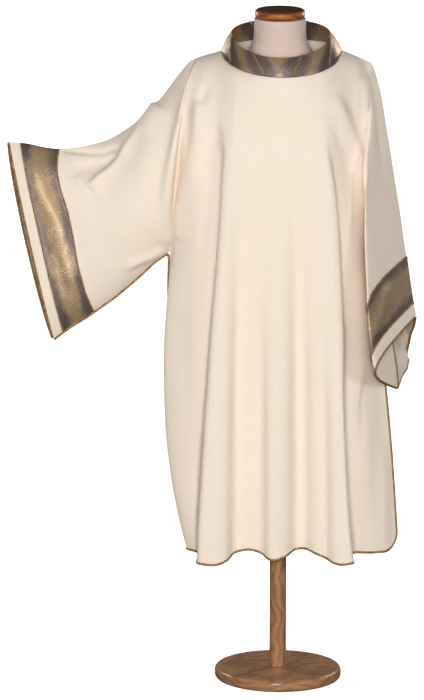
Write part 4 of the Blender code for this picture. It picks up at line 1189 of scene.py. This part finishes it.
# ---- the two panels ---------------------------------------------------------------------------------
def build_panel(name, panel, flat, area):
    """One panel, cut in one piece with half of both sleeves."""
    piece = mesh_piece(name + "_cloth", panel.points, panel.faces, panel.flat, material("cream wool"))
    give_wall(piece, setting("dalmatic_cloth").wall)
    finish_piece(piece, "cream_cloth", name)


# ---- sleeve bands and piping ------------------------------------------------------------------------
# share of the way down the left sleeve, and how far its band's inner side is shifted there; below 0
# is towards the cuff
BAND_SWAY = ((0.00, 0.000), (0.10, -0.008), (0.17, -0.012), (0.26, -0.012), (0.38, -0.005),
             (0.50, -0.005), (0.65, -0.009), (0.82, -0.007), (1.00, 0.000))


BAND_GAP = 0.0003        # between the cloth and a band
BAND_CORD_LIFT = 0.8     # how far the middle of the piping stands off what it is sewn to, in radii
EDGE_CORD_LIFT = 0.7
UNDERARM_LIFT = 0.95
SEAM_DEPTH = 3           # points in from the underside seam from which its outward direction is taken
CUFF_DEPTH = 2           # columns in from the cuff from which its outward direction is taken
BAND_CORD_ROUNDS = 2     # how often the corners of a band's piping are eased
CUFF_CORD_ROUNDS = 4


def cuff_first(panel, left):
    """Numbers of a sleeve's columns, from the cuff to the armhole."""
    return range(panel.first + 1) if left else range(len(panel.columns) - 1, panel.last - 1, -1)


class Sleeve:
    """The rings of one sleeve: up its front from the underside, over the top and down its back."""

    def __init__(self, name, front, back):
        left = name == "left"
        self.name = name
        self.columns = list(zip(cuff_first(front, left), cuff_first(back, left)))
        self.rings = self.joined(front, back, front.points, back.points)
        self.facing = unit(self.joined(front, back, front.normals, back.normals))
        cuff = self.columns[0][0]
        self.band = [abs(front.column_of(i, left) - cuff) for i in (BAND_START, BAND_END)]
        self.seam = (self.rings[:, 0] + self.rings[:, -1]) / 2
        inside = (self.rings[:, SEAM_DEPTH] + self.rings[:, -1 - SEAM_DEPTH]) / 2
        self.seam_away = unit(self.seam - inside)

    def joined(self, front, back, front_values, back_values):
        """One ring for each column: up the front, the mean at the top, and down the back."""
        rings = []
        for front_column, back_column in self.columns:
            up, down = front_values[front.column(front_column)], back_values[back.column(back_column)]
            rings.append(np.vstack([up[:0:-1], (up[:1] + down[:1]) / 2, down[1:]]))
        return np.array(rings)

    def swayed(self, column, distance):
        """One line of the band from the seam round to the seam: its inner side is sewn on unevenly."""
        start, end = self.band
        count = self.rings.shape[1]
        down = np.abs(np.linspace(-1.0, 1.0, count))
        step = np.linalg.norm(self.rings[start + 1] - self.rings[start], axis=1).mean()
        sway = np.interp(down, *zip(*BAND_SWAY)) * (self.name == "left") / step
        place = column + sway * (column - start) / (end - start)
        low = np.clip(place.astype(int), 0, len(self.rings) - 2)
        part = (place - low)[:, None]
        each = np.arange(count)
        lines = [self.rings[low + i, each] + self.facing[low + i, each] * distance for i in (0, 1)]
        return lines[0] * (1 - part) + lines[1] * part

    def build_band(self):
        """The lame band, lying on the sleeve all round, open at the underside seam."""
        trim, cloth = setting("dalmatic_trim"), setting("dalmatic_cloth")
        start, end = self.band
        lift = (cloth.wall + trim.wall) / 2 + BAND_GAP
        strip = np.array([self.swayed(i, lift) for i in range(start, end + 1)])
        across = np.linalg.norm(np.diff(strip, axis=0), axis=2).mean(axis=1)
        walked = np.concatenate([[0.0], across.cumsum()])
        along = np.linalg.norm(np.diff(strip, axis=1), axis=2).cumsum(axis=1)
        flat = np.zeros((*strip.shape[:2], 2))
        flat[..., 0] = np.minimum(walked, walked[-1] - walked)[:, None]
        flat[:, 1:, 1] = along
        numbers = grid_numbers(*strip.shape[:2])
        points = strip.reshape(-1, 3)
        faces = grid_faces(numbers, True)
        if (normals_of(points, faces) * self.facing[start:end + 1].reshape(-1, 3)).sum() < 0:
            faces = grid_faces(numbers, False)
        piece = mesh_piece(self.name + "_sleeve_band_lame", points, faces, flat.reshape(-1, 2),
                           material("woven lame"))
        give_wall(piece, trim.wall)
        finish_piece(piece, "lame", self.name + "_sleeve_band")

    def build_cords(self):
        """The piping along both sides of the band and round the cuff."""
        trim = setting("dalmatic_trim")
        lift = setting("dalmatic_cloth").wall / 2 + trim.band_cord * BAND_CORD_LIFT
        for label, column in (("outer", self.band[0]), ("inner", self.band[1])):
            line = eased_line(self.swayed(column, lift), BAND_CORD_ROUNDS)
            cord = cord_piece(f"{self.name}_band_{label}_piping", line, trim.band_cord,
                              material("twisted gold"))
            finish_piece(cord, "gold_cord", f"{self.name}_band_{label}_cord")
        away = unit(self.rings[0] - self.rings[CUFF_DEPTH])
        line = self.rings[0] + away * trim.edge_cord * EDGE_CORD_LIFT
        loop = np.vstack([line[1:-1], (line[:1] + line[-1:]) / 2])
        cord = cord_piece(self.name + "_cuff_piping", eased_line(loop, CUFF_CORD_ROUNDS, closed=True),
                          trim.edge_cord, material("twisted gold"), closed=True)
        finish_piece(cord, "gold_cord", self.name + "_cuff_cord")

    def underside(self):
        """The line of the piping under the sleeve, from the cuff to the armpit."""
        return self.seam + self.seam_away * setting("dalmatic_trim").edge_cord * UNDERARM_LIFT


ARMPIT_EASE = 7          # points on each side of the armpit over which the piping turns
ARMPIT_ROUNDS = 30       # how often those points are eased


def edge_line(panel, distance):
    """The line of the piping down the left side, along the hem and up the right side of a panel."""
    grid = panel.points[panel.skirt_grid]
    edge = np.vstack([grid[:, 0], grid[-1, 1:-1], grid[::-1, -1]])
    inner = np.vstack([grid[:-1, 1], grid[-2:-1, 1], grid[-2, 1:-1], grid[-2:-1, -2], grid[-2::-1, -2]])
    along = unit(np.gradient(edge, axis=0))
    away = edge - inner
    away -= along * (away * along).sum(axis=1, keepdims=True)
    return edge + unit(away) * distance


def build_edge_piping(front, back, left, right):
    """The piping under the sleeves, round the armpits, down the open sides and along the hems."""
    trim = setting("dalmatic_trim")
    distance = trim.edge_cord * EDGE_CORD_LIFT
    edge = edge_line(front, distance)
    under_left, under_right = left.underside(), right.underside()
    whole = np.vstack([under_left[:-1], edge, under_right[::-1][1:]])
    turns = (len(under_left) - 1, len(whole) - len(under_right))
    for turn in turns:
        part = slice(turn - ARMPIT_EASE, turn + ARMPIT_EASE + 1)
        whole[part] = eased_line(whole[part], ARMPIT_ROUNDS)
    lines = [("left_underarm", whole[:turns[0] + 1]), ("front_edge", whole[turns[0]:turns[1] + 1]),
             ("right_underarm", whole[turns[1]:][::-1]),
             ("back_edge", edge_line(back, distance)[1:-1])]
    for label, line in lines:
        cord = cord_piece(label + "_piping", line, trim.edge_cord, material("twisted gold"))
        finish_piece(cord, "gold_cord", label + "_cord")


# ---- neckband ---------------------------------------------------------------------------------------
NECK_ROWS = 10
NECK_STEP = 2.5          # degrees between two points round the neckband
NECK_SWELL = 0.0025      # how far the neckband's middle stands out
NECK_SLOT = 0.0006       # half the join between two pieces
NECK_FOOT = 0.0010       # how far the neckband's foot is above the neckline
NECK_GOLD = 0.60         # below 1, the gold middle of a neckband piece is narrower than a sleeve band's
NECK_SLOPE = 0.055       # how far the neckband's outer side turns upwards
NECK_CORD_START = 0.03   # share of the neckband's height at which a cord begins outside
NECK_CORD_INSIDE = (0.94, 0.86, 0.76)    # and the shares of it that the cord passes on its way down inside
NECK_CORD_POINTS = 12    # points of a cord's line outside
NECK_CORD_STEP = 0.002   # distance between two points of a cord before its corners are eased


def neck_out(points):
    """Directions in which the neckband's outer side faces."""
    return unit(points * (1.0, 1.0, 0.0) + (-NECKLINE.x, 0.0, NECK_SLOPE))


def build_neck_piece(name, start, end):
    """One lame piece of the neckband, between two cords."""
    foot_turn, rim_turn = (end.foot - start.foot) % 360, (end.rim - start.rim) % 360
    count = max(8, round(max(foot_turn, rim_turn) / NECK_STEP))
    part = np.linspace(0, 1, count + 1)
    foot = on_oval(NECKLINE, np.radians(start.foot + foot_turn * part))
    top = on_oval(RIM, np.radians(start.rim + rim_turn * part))
    height = np.linspace(0, 1, NECK_ROWS + 1)[:, None, None]
    points = (foot + unit(top - foot) * NECK_FOOT) * (1 - height) + top * height
    points += neck_out(points) * (NECK_SWELL * np.sin(math.pi * height))
    for edge, inner in ((0, 1), (-1, -2)):
        points[:, edge] += unit(points[:, inner] - points[:, edge]) * NECK_SLOT
    walked = np.zeros(points.shape[:2])
    walked[:, 1:] = np.linalg.norm(np.diff(points, axis=1), axis=2).cumsum(axis=1)
    tall = np.linalg.norm(top - foot, axis=1)
    inward = np.minimum(walked, walked[:, -1:] - walked) * NECK_GOLD
    flat = np.stack([inward, height[..., 0] * tall], axis=-1)
    faces = grid_faces(grid_numbers(*points.shape[:2]), False)
    piece = mesh_piece("neckband_" + name + "_lame", points.reshape(-1, 3), faces, flat.reshape(-1, 2),
                       material("neckband lame"))
    give_wall(piece, setting("dalmatic_trim").collar_wall)
    finish_piece(piece, "lame", "neckband_" + name)


def build_neck_cord(cord):
    """A cord over the join of two pieces, turned over the rim and a little way down inside."""
    trim = setting("dalmatic_trim")
    foot, top = on_oval(NECKLINE, math.radians(cord.foot)), on_oval(RIM, math.radians(cord.rim))
    lift = trim.collar_wall / 2 + trim.band_cord * EDGE_CORD_LIFT
    part = np.linspace(NECK_CORD_START, 1.0, NECK_CORD_POINTS)[:, None]
    outside = foot * (1 - part) + top * part
    outside += neck_out(outside) * (lift + NECK_SWELL * np.sin(math.pi * part))
    over = top + unit(top - foot) * lift
    down = np.array(NECK_CORD_INSIDE)[:, None]
    inside = foot * (1 - down) + top * down
    inside -= neck_out(inside) * (lift - NECK_SWELL * np.sin(math.pi * down))
    line = even_line(np.vstack([outside, over, inside]), NECK_CORD_STEP)
    line = eased_line(line, BAND_CORD_ROUNDS)
    piece = cord_piece("neckband_piping_" + cord.name, line, trim.band_cord, material("neckband gold"))
    finish_piece(piece, "gold_cord", "neckband_cord_" + cord.name)


# ---- dress form -------------------------------------------------------------------------------------
TURNED_CORNER = math.radians(35)     # edges stay sharp where they turn by more than this
TORSO_CORNER = math.radians(50)
ROUND_STEPS = 6                      # faces across a rounded edge
RING_STEPS = 3                       # rings of the torso for each row of its table


def select_edges(piece, wanted):
    """In edit mode, selects just the edges that the test wants, given their two corners."""
    bpy.ops.object.mode_set(mode="EDIT")
    bpy.ops.mesh.select_mode(type="EDGE")
    bpy.ops.mesh.select_all(action="DESELECT")
    bpy.ops.object.mode_set(mode="OBJECT")
    corners = piece.data.vertices
    for edge in piece.data.edges:
        edge.select = wanted(*[corners[i].co for i in edge.vertices])
    bpy.ops.object.mode_set(mode="EDIT")


def turned_piece(name, radius, low, high, edge, look, tilt=0.0):
    """A turned disc or rod with rounded ends, tilted about the middle of its underside."""
    bpy.ops.object.select_all(action="DESELECT")
    sides = setting("dalmatic_form").sides
    bpy.ops.mesh.primitive_cylinder_add(vertices=sides, radius=radius, depth=high - low,
                                        location=(0.0, 0.0, (low + high) / 2))
    piece = bpy.context.object
    piece.name = piece.data.name = name
    select_edges(piece, lambda a, b: abs(a.z - b.z) < 1e-6)
    bpy.ops.mesh.bevel(offset=edge, segments=ROUND_STEPS, profile=0.5, affect="EDGES")
    bpy.ops.mesh.select_all(action="DESELECT")
    bpy.ops.object.mode_set(mode="OBJECT")
    pivot = Vector((0.0, 0.0, low))
    piece.rotation_euler = (tilt, 0.0, 0.0)
    turned = piece.rotation_euler.to_matrix() @ (piece.location - pivot)
    piece.location = pivot + turned
    bpy.ops.object.transform_apply(location=True, rotation=True, scale=True)
    piece.data.materials.append(material(look))
    bpy.ops.object.shade_smooth_by_angle(angle=TURNED_CORNER)
    return piece


def build_torso():
    """The linen torso, drawn up ring by ring from its underside to the neck."""
    rings = smooth_line(TORSO, RING_STEPS)
    bpy.ops.object.select_all(action="DESELECT")
    low, wide, deep = (float(value) for value in rings[0])
    bpy.ops.mesh.primitive_circle_add(vertices=setting("dalmatic_form").sides, radius=1.0,
                                      fill_type="NGON", location=(0.0, 0.0, low))
    torso = bpy.context.object
    torso.name = torso.data.name = "torso_linen"
    bpy.ops.object.mode_set(mode="EDIT")
    bpy.ops.mesh.select_all(action="SELECT")
    bpy.ops.transform.resize(value=(wide, deep, 1.0), center_override=(0.0, 0.0, low))
    for ring in rings[1:]:
        high, new_wide, new_deep = (float(value) for value in ring)
        bpy.ops.mesh.extrude_region_move(TRANSFORM_OT_translate={"value": (0.0, 0.0, high - low)})
        bpy.ops.transform.resize(value=(new_wide / wide, new_deep / deep, 1.0),
                                 center_override=(0.0, 0.0, high))
        low, wide, deep = high, new_wide, new_deep
    bpy.ops.transform.rotate(value=-NECK_TILT, orient_axis="X", center_override=(0.0, 0.0, low))
    bpy.ops.mesh.select_all(action="SELECT")
    bpy.ops.mesh.normals_make_consistent(inside=False)
    bpy.ops.object.mode_set(mode="OBJECT")
    bpy.ops.object.transform_apply(location=True, rotation=True, scale=True)
    torso.data.materials.append(material("torso linen"))
    bpy.ops.object.shade_smooth_by_angle(angle=TORSO_CORNER)
    finish_piece(torso, "form_linen", "torso")


def build_wood():
    """The neck cap, the pole and the base, each at its own place in the frame."""
    form = setting("dalmatic_form")
    for name, edge in (("base", form.base_edge), ("pole", POLE_EDGE)):
        low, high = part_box(name)
        piece = turned_piece(name + "_wood", high.x, low.z, high.z, edge, "varnished " + name)
        finish_piece(piece, "stand_wood", name)
    foot = TORSO[-1].z + CAP_GAP
    cap = turned_piece("neck_cap_wood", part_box("neck_cap")[1].x, foot, foot + CAP_THICK,
                       form.cap_edge, "varnished cap", NECK_TILT)
    finish_piece(cap, "cap_wood", "neck_cap")


# ---- stage ------------------------------------------------------------------------------------------
CAMERA_PLACE = (-0.167, -5.4, 1.48)
CAMERA_AIM = (-0.167, 0.0, 0.835)
CAMERA_LENS = 111.9
CAMERA_REACH = 60.0
FLOOR_FRONT = -0.9
FLOOR_WIDE = 8.0
FLOOR_BEND = 1.8         # how far from the corner the floor begins to turn up
FLOOR_BEND_STEPS = 24
WALL_BEHIND = 2.6
WALL_TALL = 2.3
LIGHT_AIM = (0.0, 0.0, 1.05)
ROOM_TONE = (0.86, 0.86, 0.87)
ROOM_LIGHT = (1.0, 0.94, 1.0)

Light = namedtuple("Light", "name place size tone")
LIGHTS = [
    Light("front", (-0.2, -5.4, 1.55), (1.1, 0.9), (1.0, 0.985, 0.965)),
    Light("left", (-3.4, -4.0, 1.8), (1.0, 1.4), (1.0, 0.985, 0.97)),
    Light("right", (3.4, -4.0, 1.8), (1.0, 1.4), (1.0, 0.985, 0.97)),
    Light("back", (-2.1, 2.1, 2.1), (1.0, 1.0), (1.0, 0.99, 0.98)),
    Light("back", (2.1, 2.1, 2.1), (1.0, 1.0), (1.0, 0.99, 0.98)),
]


def pale_world(strength):
    """Pale to look at, with a dim light of its own."""
    world = bpy.data.worlds.new("pale room")
    world.use_nodes = True
    nodes = Nodes(world.node_tree)
    seen = nodes.add("ShaderNodeLightPath").outputs["Is Camera Ray"]
    tone = nodes.mix(seen, opaque(ROOM_LIGHT, strength), opaque(ROOM_TONE))
    nodes.feed(world.node_tree.nodes["Background"].inputs["Color"], tone)
    bpy.context.scene.world = world


def build_floor():
    """A floor that turns up softly into a backdrop."""
    bpy.ops.object.select_all(action="DESELECT")
    bpy.ops.mesh.primitive_plane_add(size=1.0, location=(0.0, (FLOOR_FRONT + WALL_BEHIND) / 2, 0.0))
    floor = bpy.context.object
    floor.name = floor.data.name = "floor"
    floor.scale = (FLOOR_WIDE, WALL_BEHIND - FLOOR_FRONT, 1.0)
    bpy.ops.object.transform_apply(location=True, rotation=True, scale=True)
    select_edges(floor, lambda a, b: min(a.y, b.y) > WALL_BEHIND - 0.01)
    bpy.ops.mesh.extrude_region_move(TRANSFORM_OT_translate={"value": (0.0, 0.0, WALL_TALL)})
    select_edges(floor, lambda a, b: min(a.y, b.y) > WALL_BEHIND - 0.01 and max(a.z, b.z) < 0.1)
    bpy.ops.mesh.bevel(offset=FLOOR_BEND, segments=FLOOR_BEND_STEPS, affect="EDGES")
    bpy.ops.object.mode_set(mode="OBJECT")
    floor.data.materials.append(material("plain floor"))
    bpy.ops.object.shade_smooth()


def put_in_scene(data, name, place, aim):
    """A light or the camera, looking from its place at its aim."""
    made = bpy.data.objects.new(name, data)
    made.location = place
    made.rotation_euler = (Vector(aim) - Vector(place)).to_track_quat("-Z", "Y").to_euler()
    bpy.context.scene.collection.objects.link(made)
    return made


def build_stage():
    """The floor, the lights, the room and the camera."""
    stage = setting("dalmatic_stage")
    build_floor()
    for light in LIGHTS:
        data = bpy.data.lights.new(light.name + " light", "AREA")
        data.shape = "RECTANGLE"
        data.size, data.size_y = light.size
        data.energy = getattr(stage, light.name)
        data.color = light.tone
        put_in_scene(data, light.name + " light", light.place, LIGHT_AIM)
    pale_world(stage.sky)
    bpy.context.scene.view_settings.view_transform = "Standard"
    data = bpy.data.cameras.new("camera")
    data.lens = CAMERA_LENS
    data.clip_end = CAMERA_REACH
    bpy.context.scene.camera = put_in_scene(data, "camera", CAMERA_PLACE, CAMERA_AIM)


# ---- operators --------------------------------------------------------------------------------------
class DALMATIC_OT_panels(bpy.types.Operator):
    """Builds the front and the back panel of cream cloth"""
    bl_idname = "dalmatic.panels"
    bl_label = "Panels"

    def execute(self, context):
        build_panel("front_panel", front_panel(), *FRONT_CUT)
        build_panel("back_panel", back_panel(), *BACK_CUT)
        return {"FINISHED"}


class DALMATIC_OT_sleeve_bands(bpy.types.Operator):
    """Builds the lame band of each sleeve, its piping and the cuff's"""
    bl_idname = "dalmatic.sleeve_bands"
    bl_label = "Sleeve bands"

    def execute(self, context):
        front, back = front_panel(), back_panel()
        for name in ("left", "right"):
            sleeve = Sleeve(name, front, back)
            sleeve.build_band()
            sleeve.build_cords()
        return {"FINISHED"}


class DALMATIC_OT_edge_piping(bpy.types.Operator):
    """Builds the piping under the sleeves, down the sides and along the hems"""
    bl_idname = "dalmatic.edge_piping"
    bl_label = "Edge piping"

    def execute(self, context):
        front, back = front_panel(), back_panel()
        build_edge_piping(front, back, Sleeve("left", front, back), Sleeve("right", front, back))
        return {"FINISHED"}


class DALMATIC_OT_neckband(bpy.types.Operator):
    """Builds the six lame pieces of the neckband and the cords between them"""
    bl_idname = "dalmatic.neckband"
    bl_label = "Neckband"

    def execute(self, context):
        for i, name in enumerate(NECK_PIECES):
            build_neck_piece(name, NECK_CORDS[i], NECK_CORDS[(i + 1) % len(NECK_CORDS)])
        for cord in NECK_CORDS:
            build_neck_cord(cord)
        return {"FINISHED"}


class DALMATIC_OT_dress_form(bpy.types.Operator):
    """Builds the linen torso, its wooden neck cap, the pole and the base"""
    bl_idname = "dalmatic.dress_form"
    bl_label = "Dress form"

    def execute(self, context):
        build_torso()
        build_wood()
        return {"FINISHED"}


class DALMATIC_OT_stage(bpy.types.Operator):
    """Builds the floor, the lights and the camera"""
    bl_idname = "dalmatic.stage"
    bl_label = "Stage"

    def execute(self, context):
        build_stage()
        return {"FINISHED"}


OPERATORS = [DALMATIC_OT_panels, DALMATIC_OT_sleeve_bands, DALMATIC_OT_edge_piping,
             DALMATIC_OT_neckband, DALMATIC_OT_dress_form, DALMATIC_OT_stage]


class DALMATIC_PT_sidebar(bpy.types.Panel):
    """Lists the pieces and their settings"""
    bl_idname = "DALMATIC_PT_sidebar"
    bl_label = "Dalmatic"
    bl_space_type = "VIEW_3D"
    bl_region_type = "UI"
    bl_category = "Dalmatic"

    def draw(self, context):
        for group in SETTINGS:
            box = self.layout.box()
            for name in SETTINGS[group].__annotations__:
                box.prop(getattr(context.scene, group), name)
        for operator in OPERATORS:
            self.layout.operator(operator.bl_idname)


CLASSES = [*SETTINGS.values(), *OPERATORS, DALMATIC_PT_sidebar]


def register():
    """Adds the classes and the settings."""
    for made in CLASSES:
        bpy.utils.register_class(made)
    for name, group in SETTINGS.items():
        setattr(bpy.types.Scene, name, bpy.props.PointerProperty(type=group))


def unregister():
    """Takes the settings and the classes away again."""
    for name in SETTINGS:
        delattr(bpy.types.Scene, name)
    for made in reversed(CLASSES):
        bpy.utils.unregister_class(made)


def main():
    """Builds the whole in order."""
    register()
    bpy.ops.dalmatic.panels()
    bpy.ops.dalmatic.sleeve_bands()
    bpy.ops.dalmatic.edge_piping()
    bpy.ops.dalmatic.neckband()
    bpy.ops.dalmatic.dress_form()
    bpy.ops.dalmatic.stage()


if __name__ == "__main__":
    main()
